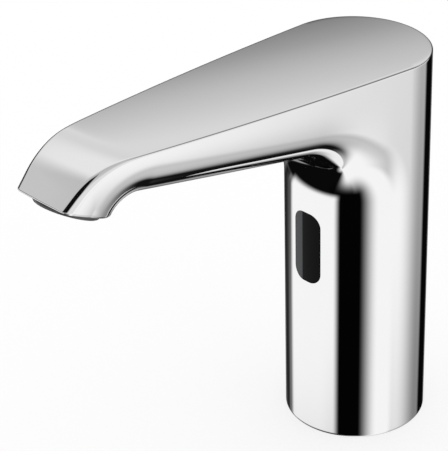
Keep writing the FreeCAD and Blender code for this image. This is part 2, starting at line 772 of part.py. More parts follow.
def valve_housing():
    """Moulded cup with a central seat; water comes up beside the seat and leaves down through it."""
    case = rod(valve_radius, insert_top, housing_top, valve_x, valve_y)
    case = case.fuse([outlet_bar(outlet_bar_half_width, insert_top, chamber_floor),
                      rod(socket_outer_radius, insert_top, housing_top, outlet_x, outlet_y),
                      rod(socket_radius - running_clearance, insert_top - spigot_length, insert_top + overcut,
                          inlet_x, inlet_y)])
    case = case.cut(ring(valve_chamber_radius, seat_outer_radius, chamber_floor, housing_top + overcut,
                         valve_x, valve_y))
    case = case.cut(rod(seat_outer_radius + overcut, seat_top, housing_top + overcut, valve_x, valve_y))
    passage_height = (insert_top + chamber_floor) / 2
    along = Vector(math.cos(math.radians(outlet_direction)), math.sin(math.radians(outlet_direction)), 0)
    passage = Part.makeCylinder(tube_bore_radius, outlet_offset, Vector(valve_x, valve_y, passage_height), along)
    spigot_ring_height = insert_top - spigot_length / 2
    groove = ring(socket_radius + overcut, socket_radius - running_clearance - 2 * o_ring_radius,
                  spigot_ring_height - o_ring_radius, spigot_ring_height + o_ring_radius, inlet_x, inlet_y)
    cuts = [rod(seat_bore_radius, passage_height, housing_top, valve_x, valve_y),
            passage,
            rod(tube_bore_radius, passage_height, housing_top, outlet_x, outlet_y),
            rod(tube_radius + running_clearance, tube_bottom, housing_top + overcut, outlet_x, outlet_y),
            rod(tube_seal_groove, housing_groove, housing_groove + tube_groove_width, outlet_x, outlet_y),
            rod(inlet_neck_radius, insert_top - overcut, chamber_floor + overcut, inlet_x, inlet_y),
            rod(spigot_bore_radius, insert_top - spigot_length - overcut, insert_top, inlet_x, inlet_y),
            groove]
    return case.cut(cuts + screw_holes(insert_top - overcut, housing_top + overcut)).removeSplitter()


def inlet_o_ring():
    section = o_ring_radius - seal_clearance
    return seal_ring(socket_radius - seal_clearance - section, section, insert_top - spigot_length / 2,
                     inlet_x, inlet_y)


def inlet_filter():
    """Thimble strainer: a flange on the socket's ledge and a slotted cup up the spigot."""
    bottom = socket_floor
    top = bottom + filter_height
    ledge = bottom + filter_flange_height
    rim = socket_radius - insert_clearance
    inner = filter_radius - filter_wall
    shape = turned([(0, top - filter_wall), (0, top), (filter_radius, top), (filter_radius, ledge), (rim, ledge),
                    (rim, bottom), (inner, bottom), (inner, top - filter_wall)], inlet_x, inlet_y)
    slots = []
    for index in range(filter_slots):
        slot = block(0, filter_radius + overcut, -filter_slot_width / 2, filter_slot_width / 2,
                     ledge + gap, top - filter_wall - gap)
        slot.rotate(Vector(), Vector(0, 0, 1), 360 * index / filter_slots)
        slot.translate(Vector(inlet_x, inlet_y, 0))
        slots.append(slot)
    return shape.cut(slots)


def diaphragm():
    """Rubber disc: clamped rim, thin rolled web, thick pad that closes the seat."""
    pad_bottom = seat_top + seal_clearance
    rim_inner = valve_chamber_radius + running_clearance
    web_top = housing_top + diaphragm_web
    roll = (diaphragm_pad_radius + rim_inner) / 2
    outline = [(core_hub_radius + running_clearance, pad_bottom), (diaphragm_pad_radius, pad_bottom),
               (diaphragm_pad_radius, housing_top), (roll, housing_top + diaphragm_web),
               (rim_inner, housing_top), (diaphragm_radius, housing_top),
               (diaphragm_radius, cover_bottom), (rim_inner, cover_bottom), (rim_inner - rolled_edge, web_top),
               (roll, web_top + diaphragm_web), (diaphragm_pad_radius + rolled_edge, web_top),
               (diaphragm_pad_radius, pad_top), (core_hub_radius + running_clearance, pad_top)]
    return turned(outline, valve_x, valve_y)


def diaphragm_core():
    """Hard carrier clipped through the rubber, with the pilot hole and its raised lip, and guide ribs below."""
    plate_bottom = pad_top + seal_clearance
    plate_top = plate_bottom + core_plate_height
    hub_bottom = seat_top - core_hub_drop
    outline = [(pilot_radius, hub_bottom - core_guide_length), (core_hub_radius, hub_bottom - core_guide_length),
               (core_hub_radius, plate_bottom), (core_plate_radius, plate_bottom), (core_plate_radius, plate_top),
               (pilot_boss_radius, plate_top), (pilot_boss_radius - rolled_edge, plate_top + pilot_boss_height),
               (pilot_radius, plate_top + pilot_boss_height)]
    core = turned(outline, valve_x, valve_y)
    ribs = []
    for angle in (0, 90):
        rib = block(-core_guide_radius, core_guide_radius, -core_rib_width / 2, core_rib_width / 2,
                    hub_bottom - core_guide_length, hub_bottom)
        rib.rotate(Vector(), Vector(0, 0, 1), angle)
        rib.translate(Vector(valve_x, valve_y, 0))
        ribs.append(rib)
    bore = rod(pilot_radius, hub_bottom - core_guide_length - overcut, plate_top + pilot_boss_height + overcut,
               valve_x, valve_y)
    return core.fuse(ribs).cut(bore)


def valve_cover():
    cover = rod(valve_radius, cover_bottom, cover_top, valve_x, valve_y)
    cuts = [rod(valve_chamber_radius, cover_bottom - overcut, guide_bottom, valve_x, valve_y),
            rod(guide_flange_radius + insert_clearance, guide_bottom - overcut,
                guide_bottom + guide_flange_height + seal_clearance, valve_x, valve_y),
            rod(guide_bore, cover_bottom, cover_top + overcut, valve_x, valve_y),
            rod(tube_radius + gap, cover_bottom - overcut, cover_top + overcut, outlet_x, outlet_y)]
    return cover.cut(cuts + screw_holes(cover_bottom - overcut, cover_top + overcut))


def valve_screws():
    """Four long screws that hold cover, diaphragm and housing down on the base insert."""
    screws = []
    for x, y in valve_screw_places():
        shank = rod(valve_screw_radius, insert_top - valve_screw_bite, cover_top + valve_screw_tip, x, y)
        head = rod(valve_screw_head_radius, cover_top, cover_top + valve_screw_head_height, x, y)
        cross = rod(valve_screw_radius / 2, cover_top + valve_screw_head_height / 2,
                    cover_top + 2 * valve_screw_head_height, x, y)
        screws.append(shank.fuse(head).cut(cross))
    return Part.makeCompound(screws)


def guide_tube():
    outer = guide_inner_radius + guide_wall
    ledge = guide_bottom + guide_flange_height
    return turned([(guide_inner_radius, guide_bottom), (guide_flange_radius, guide_bottom),
                   (guide_flange_radius, ledge), (outer, ledge), (outer, guide_top), (guide_inner_radius, guide_top)],
                  valve_x, valve_y)


def plunger():
    radius = guide_inner_radius - plunger_clearance
    body = rod(radius, plunger_bottom, plunger_top, valve_x, valve_y)
    cuts = [rod(plunger_seal_radius + seal_clearance, plunger_bottom - overcut, plunger_bottom + plunger_seal_bury,
                valve_x, valve_y),
            rod(spring_pocket_radius, plunger_top - spring_pocket_depth, plunger_top + overcut, valve_x, valve_y)]
    half = plunger_slot_width / 2
    for side in (-1, 1):
        edge = valve_y + side * radius
        cuts.append(block(valve_x - half, valve_x + half, edge - half, edge + half,
                          plunger_bottom - overcut, plunger_top + overcut))
    return body.cut(cuts)


def plunger_seal():
    return rod(plunger_seal_radius, core_top + seal_clearance, plunger_bottom + plunger_seal_bury - seal_clearance,
               valve_x, valve_y)


def plunger_spring():
    """Open coil spring between the bottom of the plunger's pocket and the fixed pole."""
    bottom = plunger_top - spring_pocket_depth + spring_wire_radius + seal_clearance
    height = pole_bottom - spring_wire_radius - seal_clearance - bottom
    helix = Part.makeHelix(height / spring_turns, height, spring_coil_radius)
    start = Vector(spring_coil_radius, 0, 0)
    profile = Part.Wire(Part.makeCircle(spring_wire_radius, start, Vector(0, 1, 0)))
    spring = Part.Wire(helix.Edges).makePipeShell([profile], True, False)
    spring.translate(Vector(valve_x, valve_y, bottom))
    return spring


def fixed_pole():
    return rod(guide_inner_radius - seal_clearance, pole_bottom, pole_bottom + pole_length, valve_x, valve_y)


def coil_frame():
    """Bent steel yoke: bottom plate, two legs and top plate round the coil."""
    reach = frame_leg_offset + frame_thickness
    frame = block(-frame_half_width, frame_half_width, -reach, reach, cover_top, frame_top)
    frame = frame.cut(block(-2 * frame_half_width, 2 * frame_half_width, -frame_leg_offset, frame_leg_offset,
                            coil_bottom, coil_top))
    frame.translate(Vector(valve_x, valve_y, 0))
    return frame.cut(rod(guide_bore, cover_top - overcut, frame_top + overcut, valve_x, valve_y))


def coil_bobbin():
    core = guide_bore + bobbin_wall
    low, high = coil_bottom + bobbin_flange_height, coil_top - bobbin_flange_height
    return turned([(guide_bore, coil_bottom), (bobbin_flange_radius, coil_bottom), (bobbin_flange_radius, low),
                   (core, low), (core, high), (bobbin_flange_radius, high), (bobbin_flange_radius, coil_top),
                   (guide_bore, coil_top)], valve_x, valve_y)


def coil_winding():
    inner = guide_bore + bobbin_wall + running_clearance
    return ring(winding_radius, inner, coil_bottom + bobbin_flange_height + running_clearance,
                coil_top - bobbin_flange_height - running_clearance, valve_x, valve_y)


def coil_nut():
    """Hexagonal nut on the pole's end that holds the yoke and coil down."""
    corners = [math.radians(60 * corner) for corner in range(6)]
    hexagon = [Vector(coil_nut_radius * math.cos(turn), coil_nut_radius * math.sin(turn), 0) for turn in corners]
    nut = Part.Face(Part.makePolygon(hexagon + hexagon[:1])).extrude(Vector(0, 0, coil_nut_height))
    nut.translate(Vector(valve_x, valve_y, frame_top))
    return nut.cut(rod(guide_bore, frame_top - overcut, frame_top + coil_nut_height + overcut, valve_x, valve_y))


def coil_terminals():
    """Connector block clipped on the coil's side; the valve lead leaves its top."""
    x0 = valve_x + bobbin_flange_radius + running_clearance
    top = coil_top - bobbin_flange_height
    return block(x0, x0 + terminal_block_depth, valve_y - terminal_block_half_width,
                 valve_y + terminal_block_half_width, top - terminal_block_height, top)


def terminal_top():
    return Vector(valve_x + bobbin_flange_radius + running_clearance + terminal_block_depth / 2,
                  valve_y, coil_top - bobbin_flange_height)


# ---------------------------------------------------------------- leads and waterway

def bend_radius(before, corner, after):
    """As large as the two runs allow."""
    turn = (corner - before).getAngle(after - corner)
    shorter = min((corner - before).Length, (after - corner).Length)
    return bend_share * shorter / math.tan(turn / 2)


def routed(points, radius, name):
    bends = [bend_radius(*three) for three in zip(points, points[1:], points[2:])]
    print(name, "bends", [round(bend, 1) for bend in bends])
    return bent_tube(points, radius, bends)


def sensor_lead():
    """From the sensor case's floor down to the grommet in the base insert."""
    return routed([Vector(sensor_lead_x, -sensor_lead_forward, sensor_bottom + sensor_wall),
                   Vector(sensor_lead_x, -sensor_lead_forward, sensor_bottom - sensor_lead_drop),
                   Vector(cable_x, cable_y, insert_top + sensor_lead_rise),
                   Vector(cable_x, cable_y, seal_thickness + insert_thickness / 2)],
                  sensor_lead_radius, "sensor_lead")


def valve_lead():
    """Out of the terminal block, over the top and down into the sensor case."""
    top = terminal_top()
    return routed([top,
                   Vector(top.x, top.y, valve_lead_top),
                   Vector(valve_lead_x, -valve_lead_forward, valve_lead_top),
                   Vector(valve_lead_x, -valve_lead_forward, sensor_top - sensor_wall)],
                  valve_lead_radius, "valve_lead")


def spout_tube():
    """Water pipe from the valve's outlet socket up the column and along the spout to the nozzle."""
    start, direction = spout_axis()
    end = start + direction * (tube_nozzle_depth - gap)
    lead_in = start - direction * tube_straight
    knee = Vector(outlet_x, outlet_y, tube_knee_height)
    points = [Vector(outlet_x, outlet_y, tube_bottom + gap), knee, lead_in, end]
    bends = [tube_knee_radius, tube_elbow_radius]
    outer = bent_tube(points, tube_radius, bends)
    inner = bent_tube(points, tube_bore_radius, bends)
    return outer.cut(inner)


def tube_o_rings():
    """One ring in the valve's outlet socket and one in the nozzle's."""
    radius = tube_radius + tube_seal_radius + seal_clearance / 2
    section = tube_seal_radius
    low = seal_ring(radius, section, housing_groove + tube_groove_width / 2, outlet_x, outlet_y)
    start, direction = spout_axis()
    centre = start + direction * (tube_groove_start + tube_groove_width / 2)
    return Part.makeCompound([low, Part.makeTorus(radius, section, centre, direction)])


# ---------------------------------------------------------------- aerator

def aerator_ring():
    """Threaded ring with a flange that stands proud of the outlet face."""
    body = aerator_rod(aerator_thread_radius, 0, aerator_thread_length)
    flange = aerator_rod(aerator_flange_radius, -aerator_flange_height, 0)
    rim = [edge for edge in flange.Edges if edge.Closed and (edge.CenterOfMass - aerator_mouth).dot(outlet_in) < -gap]
    flange = flange.makeFillet(aerator_flange_height / 2, rim)
    mouth = aerator_bore_radius - aerator_ledge
    ledge = aerator_rod(mouth, -aerator_flange_height - overcut, overcut)
    bore = aerator_rod(aerator_bore_radius, 0, aerator_thread_length + overcut)
    threaded = body.fuse(flange).cut(bore).cut(ledge)
    slots = []
    for index in range(aerator_key_slots):
        slot = block(mouth - overcut, mouth + aerator_ledge, -aerator_key_width / 2, aerator_key_width / 2,
                     -aerator_flange_height - overcut, -aerator_flange_height / 2)
        slot.rotate(Vector(), Vector(0, 0, 1), 360 * (index + 0.5) / aerator_key_slots)
        slots.append(onto_outlet(slot))
    return threaded.cut(slots)


def onto_outlet(shape):
    """Carry a shape built about Z at the origin to the aerator's axis."""
    turned_shape = shape.copy()
    turned_shape.rotate(Vector(), Vector(1, 0, 0), -outlet_angle)
    turned_shape.translate(aerator_mouth)
    return turned_shape


def aerator_insert():
    """Jet disc with a ring of holes."""
    disc = aerator_rod(aerator_bore_radius - running_clearance, running_clearance,
                       running_clearance + aerator_insert_height)
    holes = []
    for index in range(aerator_jets):
        angle = 2 * math.pi * index / aerator_jets
        holes.append(onto_outlet(rod(aerator_jet_radius, -overcut, aerator_insert_height + overcut,
                                     aerator_jet_circle * math.cos(angle), aerator_jet_circle * math.sin(angle))))
    return disc.cut(holes)


def aerator_screen():
    low = 2 * running_clearance + aerator_insert_height
    screen = aerator_rod(aerator_bore_radius - running_clearance, low, low + aerator_screen_height)
    half = screen_hole / 2
    span = int(aerator_bore_radius / screen_pitch)
    places = [screen_pitch * step for step in range(-span, span + 1)]
    holes = []
    for x in places:
        for y in places:
            if math.hypot(x, y) < aerator_bore_radius - screen_rim:
                hole = block(x - half, x + half, y - half, y + half, low - overcut,
                             low + aerator_screen_height + overcut)
                holes.append(onto_outlet(hole))
    return screen.cut(holes)


def flow_regulator():
    low = 3 * running_clearance + aerator_insert_height + aerator_screen_height
    middle = low + flow_regulator_height / 2
    top = low + flow_regulator_height
    disc = aerator_rod(aerator_bore_radius - running_clearance, low, top)
    return disc.cut([aerator_rod(flow_inlet_radius, middle, top + overcut),
                     aerator_rod(flow_orifice_radius, low - overcut, top + overcut)])


def aerator_washer():
    low = aerator_thread_length + seal_clearance
    top = low + aerator_washer_height
    washer = aerator_rod(aerator_thread_radius, low, top)
    return washer.cut(aerator_rod(aerator_thread_radius - aerator_washer_width, low - overcut, top + overcut))


parts = {
    "tap_body": tap_body,
    "sensor_window": sensor_window,
    "window_gasket": window_gasket,
    "sensor_housing": sensor_housing,
    "sensor_cover": sensor_cover,
    "sensor_board": sensor_board,
    "infrared_emitter": lambda: eye(emitter_radius, eye_heights()[0]),
    "infrared_receiver": lambda: eye(receiver_radius, eye_heights()[1]),
    "sensor_bracket": sensor_bracket,
    "sensor_screws": sensor_screws,
    "sensor_lead": sensor_lead,
    "base_seal": base_seal,
    "base_insert": base_insert,
    "insert_screws": insert_screws,
    "cable_grommet": cable_grommet,
    "valve_housing": valve_housing,
    "inlet_o_ring": inlet_o_ring,
    "inlet_filter": inlet_filter,
    "diaphragm": diaphragm,
    "diaphragm_core": diaphragm_core,
    "valve_cover": valve_cover,
    "valve_screws": valve_screws,
    "guide_tube": guide_tube,
    "plunger": plunger,
    "plunger_seal": plunger_seal,
    "plunger_spring": plunger_spring,
    "fixed_pole": fixed_pole,
    "coil_frame": coil_frame,
    "coil_bobbin": coil_bobbin,
    "coil_winding": coil_winding,
    "coil_nut": coil_nut,
    "coil_terminals": coil_terminals,
    "valve_lead": valve_lead,
    "spout_tube": spout_tube,
    "tube_o_rings": tube_o_rings,
    "aerator_ring": aerator_ring,
    "aerator_insert": aerator_insert,
    "aerator_screen": aerator_screen,
    "flow_regulator": flow_regulator,
    "aerator_washer": aerator_washer,
}

os.makedirs("parts", exist_ok=True)
for name, make in parts.items():
    shape = make()
    shape.exportStep("parts/" + name + ".step")
    print(name, shape.ShapeType, len(shape.Solids), shape.isValid(), round(shape.Volume, 1))
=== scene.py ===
import bpy
import json
import math
from mathutils import Matrix, Vector


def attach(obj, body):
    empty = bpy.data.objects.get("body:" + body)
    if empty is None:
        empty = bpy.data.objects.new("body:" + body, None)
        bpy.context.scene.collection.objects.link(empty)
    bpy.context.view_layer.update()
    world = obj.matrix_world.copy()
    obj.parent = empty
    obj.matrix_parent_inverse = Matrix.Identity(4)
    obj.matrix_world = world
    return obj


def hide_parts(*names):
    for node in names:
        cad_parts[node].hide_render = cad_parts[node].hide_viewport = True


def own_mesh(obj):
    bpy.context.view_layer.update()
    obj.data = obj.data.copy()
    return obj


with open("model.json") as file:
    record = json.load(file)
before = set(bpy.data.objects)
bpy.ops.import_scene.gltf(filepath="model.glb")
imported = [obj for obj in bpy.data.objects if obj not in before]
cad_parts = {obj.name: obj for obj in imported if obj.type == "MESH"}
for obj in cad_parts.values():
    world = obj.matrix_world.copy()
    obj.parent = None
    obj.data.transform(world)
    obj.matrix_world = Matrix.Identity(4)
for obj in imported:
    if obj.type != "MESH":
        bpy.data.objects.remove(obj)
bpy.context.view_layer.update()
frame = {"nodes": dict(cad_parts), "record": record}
nodes = frame["nodes"]
print("frame loaded:", len(nodes), "pieces")

mm = 0.001  # a millimetre in metres

camera = {
    "azimuth": 46.42,  # degrees round from the front, towards the user's right
    "elevation": 30.19,
    "distance": 0.7505,
    "roll": -1.374,
    "aimHeight": 0.070,  # it aims at this height of the column's axis, shifted as seen in the picture
    "aimRight": -0.0443,
    "aimUp": 0.0008,
    "lens": 178.7,
    "sensor": 36.0,
    "nearest": 0.05,
    "farthest": 20.0,
}


def placeCamera():
    a, e = math.radians(camera["azimuth"]), math.radians(camera["elevation"])
    back = Vector((math.sin(a) * math.cos(e), -math.cos(a) * math.cos(e), math.sin(e)))
    right = Vector((math.cos(a), math.sin(a), 0))
    up = back.cross(right)
    target = Vector((0, 0, camera["aimHeight"])) + right * camera["aimRight"] + up * camera["aimUp"]
    roll = math.radians(camera["roll"])
    camX = right * math.cos(roll) + up * math.sin(roll)
    camY = up * math.cos(roll) - right * math.sin(roll)
    data = bpy.data.cameras.new("camera")
    data.lens = camera["lens"]
    data.sensor_width = camera["sensor"]
    data.clip_start = camera["nearest"]
    data.clip_end = camera["farthest"]
    cam = bpy.data.objects.new("camera", data)
    bpy.context.scene.collection.objects.link(cam)
    matrix = Matrix((camX, camY, back)).transposed().to_4x4()
    matrix.translation = target + back * camera["distance"]
    cam.matrix_world = matrix
    bpy.context.scene.camera = cam
    print("camera placed")


def newMaterial(name):
    material = bpy.data.materials.new(name)
    material.use_nodes = True
    tree = material.node_tree
    return material, tree, tree.nodes["Principled BSDF"]


def mathNode(tree, operation, *values):
    node = tree.nodes.new("ShaderNodeMath")
    node.operation = operation
    for socket, value in zip(node.inputs, values):
        if isinstance(value, (int, float)):
            socket.default_value = value
        else:
            tree.links.new(value, socket)
    return node.outputs[0]


def ramp(tree, factor, stops):
    node = tree.nodes.new("ShaderNodeValToRGB")
    elements = node.color_ramp.elements
    while len(elements) < len(stops):
        elements.new(0.5)
    for element, (position, level) in zip(elements, stops):
        element.position = position
        element.color = (level, level, level, 1)
    tree.links.new(factor, node.inputs[0])
    return node.outputs[0]


def blend(tree, factor, first, second):
    node = tree.nodes.new("ShaderNodeMix")
    node.data_type = "RGBA"
    tree.links.new(factor, node.inputs["Factor"])
    node.inputs["A"].default_value = (*first, 1)
    node.inputs["B"].default_value = (*second, 1)
    return node.outputs["Result"]


def between(tree, factor, low, high):
    node = tree.nodes.new("ShaderNodeMapRange")
    tree.links.new(factor, node.inputs["Value"])
    node.inputs["To Min"].default_value = low
    node.inputs["To Max"].default_value = high
    return node.outputs[0]


def bump(tree, height, depth, strength):
    node = tree.nodes.new("ShaderNodeBump")
    node.inputs["Distance"].default_value = depth
    node.inputs["Strength"].default_value = strength
    tree.links.new(height, node.inputs["Height"])
    return node.outputs[0]


# Shared effects. Each puts out a value from 0 to 1 and is fed with a piece's own Object coordinates.
def effectGroup(name, inputs):
    group = bpy.data.node_groups.new(name, "ShaderNodeTree")
    group.interface.new_socket("Vector", in_out="INPUT", socket_type="NodeSocketVector")
    for socket in inputs:
        group.interface.new_socket(socket, in_out="INPUT", socket_type="NodeSocketFloat")
    group.interface.new_socket("Value", in_out="OUTPUT", socket_type="NodeSocketFloat")
    given = group.nodes.new("NodeGroupInput").outputs
    return group, given, group.nodes.new("NodeGroupOutput").inputs["Value"]


# Grain, or lines drawn along the axis where the stretch is small.
def grainGroup():
    group, given, value = effectGroup("grain", ("Across", "Along", "Up", "Detail"))
    scale = group.nodes.new("ShaderNodeCombineXYZ")
    for socket, name in zip(scale.inputs, ("Across", "Along", "Up")):
        group.links.new(given[name], socket)
    stretch = group.nodes.new("ShaderNodeVectorMath")
    stretch.operation = "MULTIPLY"
    group.links.new(given["Vector"], stretch.inputs[0])
    group.links.new(scale.outputs[0], stretch.inputs[1])
    noise = group.nodes.new("ShaderNodeTexNoise")
    noise.inputs["Scale"].default_value = 1.0
    group.links.new(stretch.outputs[0], noise.inputs["Vector"])
    group.links.new(given["Detail"], noise.inputs["Detail"])
    group.links.new(noise.outputs[0], value)
    return group


def wave(tree, distance, pitch):
    turn = mathNode(tree, "MULTIPLY", mathNode(tree, "DIVIDE", distance, pitch), 2 * math.pi)
    return mathNode(tree, "MULTIPLY_ADD", mathNode(tree, "SINE", turn), 0.5, 0.5)


# Tool marks: rings round an upright axis, and steps up it.
def turnedGroup():
    group, given, value = effectGroup("turned", ("Centre X", "Centre Y", "Pitch"))
    split = group.nodes.new("ShaderNodeSeparateXYZ")
    group.links.new(given["Vector"], split.inputs[0])
    x = mathNode(group, "SUBTRACT", split.outputs[0], given["Centre X"])
    y = mathNode(group, "SUBTRACT", split.outputs[1], given["Centre Y"])
    squares = mathNode(group, "ADD", mathNode(group, "MULTIPLY", x, x), mathNode(group, "MULTIPLY", y, y))
    ringed = wave(group, mathNode(group, "SQRT", squares), given["Pitch"])
    stepped = wave(group, split.outputs[2], given["Pitch"])
    group.links.new(mathNode(group, "MULTIPLY", mathNode(group, "ADD", ringed, stepped), 0.5), value)
    return group


# Crossed wires, seen as two waves.
def weaveGroup():
    group, given, value = effectGroup("weave", ("Pitch",))
    split = group.nodes.new("ShaderNodeSeparateXYZ")
    group.links.new(given["Vector"], split.inputs[0])
    waves = [wave(group, axis, given["Pitch"]) for axis in split.outputs[:2]]
    group.links.new(mathNode(group, "MAXIMUM", *waves), value)
    return group


tracks = {"inner": 0.9, "outer": 0.96}  # a track's edge runs between these distances in a cell


# Copper tracks under lacquer: borders of square cells.
def trackGroup():
    group, given, value = effectGroup("tracks", ("Scale",))
    cells = group.nodes.new("ShaderNodeTexVoronoi")
    cells.distance = "MANHATTAN"
    cells.feature = "F2"
    group.links.new(given["Vector"], cells.inputs["Vector"])
    group.links.new(given["Scale"], cells.inputs["Scale"])
    edge = group.nodes.new("ShaderNodeMapRange")
    edge.inputs["From Min"].default_value = tracks["inner"]
    edge.inputs["From Max"].default_value = tracks["outer"]
    group.links.new(cells.outputs["Distance"], edge.inputs["Value"])
    group.links.new(edge.outputs[0], value)
    return group


effects = {"grain": grainGroup(), "turned": turnedGroup(), "weave": weaveGroup(), "tracks": trackGroup()}


def effect(tree, name, **values):
    node = tree.nodes.new("ShaderNodeGroup")
    node.node_tree = effects[name]
    for socket, value in values.items():
        node.inputs[socket.replace("_", " ")].default_value = value
    coord = tree.nodes.new("ShaderNodeTexCoord")
    tree.links.new(coord.outputs["Object"], node.inputs["Vector"])
    return node.outputs["Value"]


def grain(tree, size, detail=3.0, stretch=(1, 1, 1)):
    across, along, up = (share / size for share in stretch)
    return effect(tree, "grain", Across=across, Along=along, Up=up, Detail=detail)


# Cards round the tap: direction in degrees from the front towards the user's right, height over the horizon,
# half width, half height, softness of the edge and level. Later ones lie in front of earlier ones.
studio = {
    "floorGlow": (0, -55, 180, 53, 8, 1.0),
    "softBox": (-125, 52, 44, 20, 26, 0.86),
    "noseGlow": (-50, 30, 22, 7, 8, 0.6),
    "rightFlagHigh": (25, 50, 38, 26, 12, 0.004),
    "rightFlagLow": (88, 0, 40, 22, 14, 0.8),
    "wallFade": (150, -66, 47, 30, 12, 0.56),
    "ringFade": (175, -35, 38, 14, 50, 0.15),
    "bellyFlag": (168, -61, 48, 11, 18, 0.006),
    "ringBack": (190, -20, 17, 19, 9, 0.002),
    "leftFlag": (-115, -14, 20, 24, 8, 0.002),
    "backGlow": (-146, -24, 10, 15, 10, 0.13),
    "leftGlow": (-92, -28, 13, 11, 24, 0.06),
    "throatFlag": (-38, -61, 78, 26, 8, 0.003),
    "throatWhite": (78, -80, 60, 30, 34, 1.0),
    "frontFlag": (30, -36, 34, 22, 32, 0.001),
    "frontWhite": (-36, -24, 47, 14, 12, 1.0),
    "farGlow": (-130, -50, 15, 18, 12, 0.2),
    "creaseFlag": (138, 30, 18, 16, 8, 0.18),
}
# Behind the cards: height over the horizon and level.
studioSky = [(-5, 0.02), (12, 0.03), (17, 0.22), (19, 0.36), (20, 0.46), (21, 0.54),
             (22, 0.6), (24, 0.74), (32, 0.6), (45, 0.56), (90, 0.5)]
cardSockets = ("Centre", "Middle", "Half Width", "Half Height", "Softness", "Level")


def cardGroup():
    group = bpy.data.node_groups.new("studioCard", "ShaderNodeTree")
    for name in ("Base", "Compass", "Height") + cardSockets:
        group.interface.new_socket(name, in_out="INPUT", socket_type="NodeSocketFloat")
    group.interface.new_socket("Level", in_out="OUTPUT", socket_type="NodeSocketFloat")
    given = group.nodes.new("NodeGroupInput").outputs
    result = group.nodes.new("NodeGroupOutput")
    turn = mathNode(group, "SUBTRACT", given["Compass"], given["Centre"])
    turn = mathNode(group, "WRAP", turn, 180.0, -180.0)
    climb = mathNode(group, "SUBTRACT", given["Height"], given["Middle"])
    masks = []
    for offset, half in ((turn, "Half Width"), (climb, "Half Height")):
        edge = group.nodes.new("ShaderNodeMapRange")
        edge.interpolation_type = "SMOOTHSTEP"
        soft = mathNode(group, "MULTIPLY", given["Softness"], 0.5)
        group.links.new(mathNode(group, "ABSOLUTE", offset), edge.inputs["Value"])
        group.links.new(mathNode(group, "SUBTRACT", given[half], soft), edge.inputs["From Min"])
        group.links.new(mathNode(group, "ADD", given[half], soft), edge.inputs["From Max"])
        edge.inputs["To Min"].default_value = 1.0
        edge.inputs["To Max"].default_value = 0.0
        masks.append(edge.outputs[0])
    mask = mathNode(group, "MULTIPLY", *masks)
    change = mathNode(group, "MULTIPLY", mathNode(group, "SUBTRACT", given["Level"], given["Base"]), mask)
    group.links.new(mathNode(group, "ADD", given["Base"], change), result.inputs["Level"])
    return group


# Mirror reflections see the cards. Soft light and the camera see plain white.
def buildWorld():
    world = bpy.data.worlds.new("studio")
    bpy.context.scene.world = world
    world.use_nodes = True
    tree = world.node_tree
    tree.nodes.clear()
    coord = tree.nodes.new("ShaderNodeTexCoord")
    split = tree.nodes.new("ShaderNodeSeparateXYZ")
    tree.links.new(coord.outputs["Generated"], split.inputs[0])
    x, y, z = split.outputs
    compass = mathNode(tree, "ARCTAN2", x, mathNode(tree, "MULTIPLY", y, -1.0))
    compass = mathNode(tree, "DEGREES", compass)
    height = mathNode(tree, "DEGREES", mathNode(tree, "ARCSINE", z))
    share = mathNode(tree, "ADD", mathNode(tree, "DIVIDE", height, 180.0), 0.5)
    level = ramp(tree, share, [(0.5 + angle / 180, value) for angle, value in studioSky])
    group = cardGroup()
    for values in studio.values():
        card = tree.nodes.new("ShaderNodeGroup")
        card.node_tree = group
        tree.links.new(level, card.inputs["Base"])
        tree.links.new(compass, card.inputs["Compass"])
        tree.links.new(height, card.inputs["Height"])
        for name, value in zip(cardSockets, values):
            card.inputs[name].default_value = value
        level = card.outputs[0]
    path = tree.nodes.new("ShaderNodeLightPath")
    choose = tree.nodes.new("ShaderNodeMix")
    choose.inputs["A"].default_value = 1.0
    tree.links.new(path.outputs["Is Glossy Ray"], choose.inputs["Factor"])
    tree.links.new(level, choose.inputs["B"])
    background = tree.nodes.new("ShaderNodeBackground")
    out = tree.nodes.new("ShaderNodeOutputWorld")
    tree.links.new(choose.outputs["Result"], background.inputs["Color"])
    tree.links.new(background.outputs[0], out.inputs[0])
    print("studio built:", len(studio), "cards")


ground = {"size": 6.0, "gap": 0.0002, "grain": 0.0008, "tones": ((0.28, 0.28, 0.28), (0.32, 0.32, 0.32)),
          "roughness": 0.9, "glow": 0.7}


def buildFloor():
    bpy.ops.object.select_all(action="DESELECT")
    bpy.ops.mesh.primitive_plane_add(size=ground["size"], location=(0, 0, -ground["gap"]))
    floor = bpy.context.object
    floor.name = "floor"
    material, tree, shader = newMaterial("floor_white")
    shader.inputs["Roughness"].default_value = ground["roughness"]
    shader.inputs["Specular IOR Level"].default_value = 0.0
    shader.inputs["Emission Color"].default_value = (1, 1, 1, 1)
    shader.inputs["Emission Strength"].default_value = ground["glow"]
    tree.links.new(blend(tree, grain(tree, ground["grain"]), *ground["tones"]), shader.inputs["Base Color"])
    floor.data.materials.append(material)
    floor.visible_glossy = False
    print("floor laid")


def makeActive(piece):
    bpy.ops.object.select_all(action="DESELECT")
    piece.select_set(True)
    bpy.context.view_layer.objects.active = piece


def applyAll(piece):
    makeActive(piece)
    for modifier in list(piece.modifiers):
        bpy.ops.object.modifier_apply(modifier=modifier.name)


def cutWith(piece, cutter):
    cut = piece.modifiers.new("cut", "BOOLEAN")
    cut.operation = "DIFFERENCE"
    cut.solver = "EXACT"
    cut.object = cutter
    applyAll(piece)
    bpy.data.objects.remove(cutter)


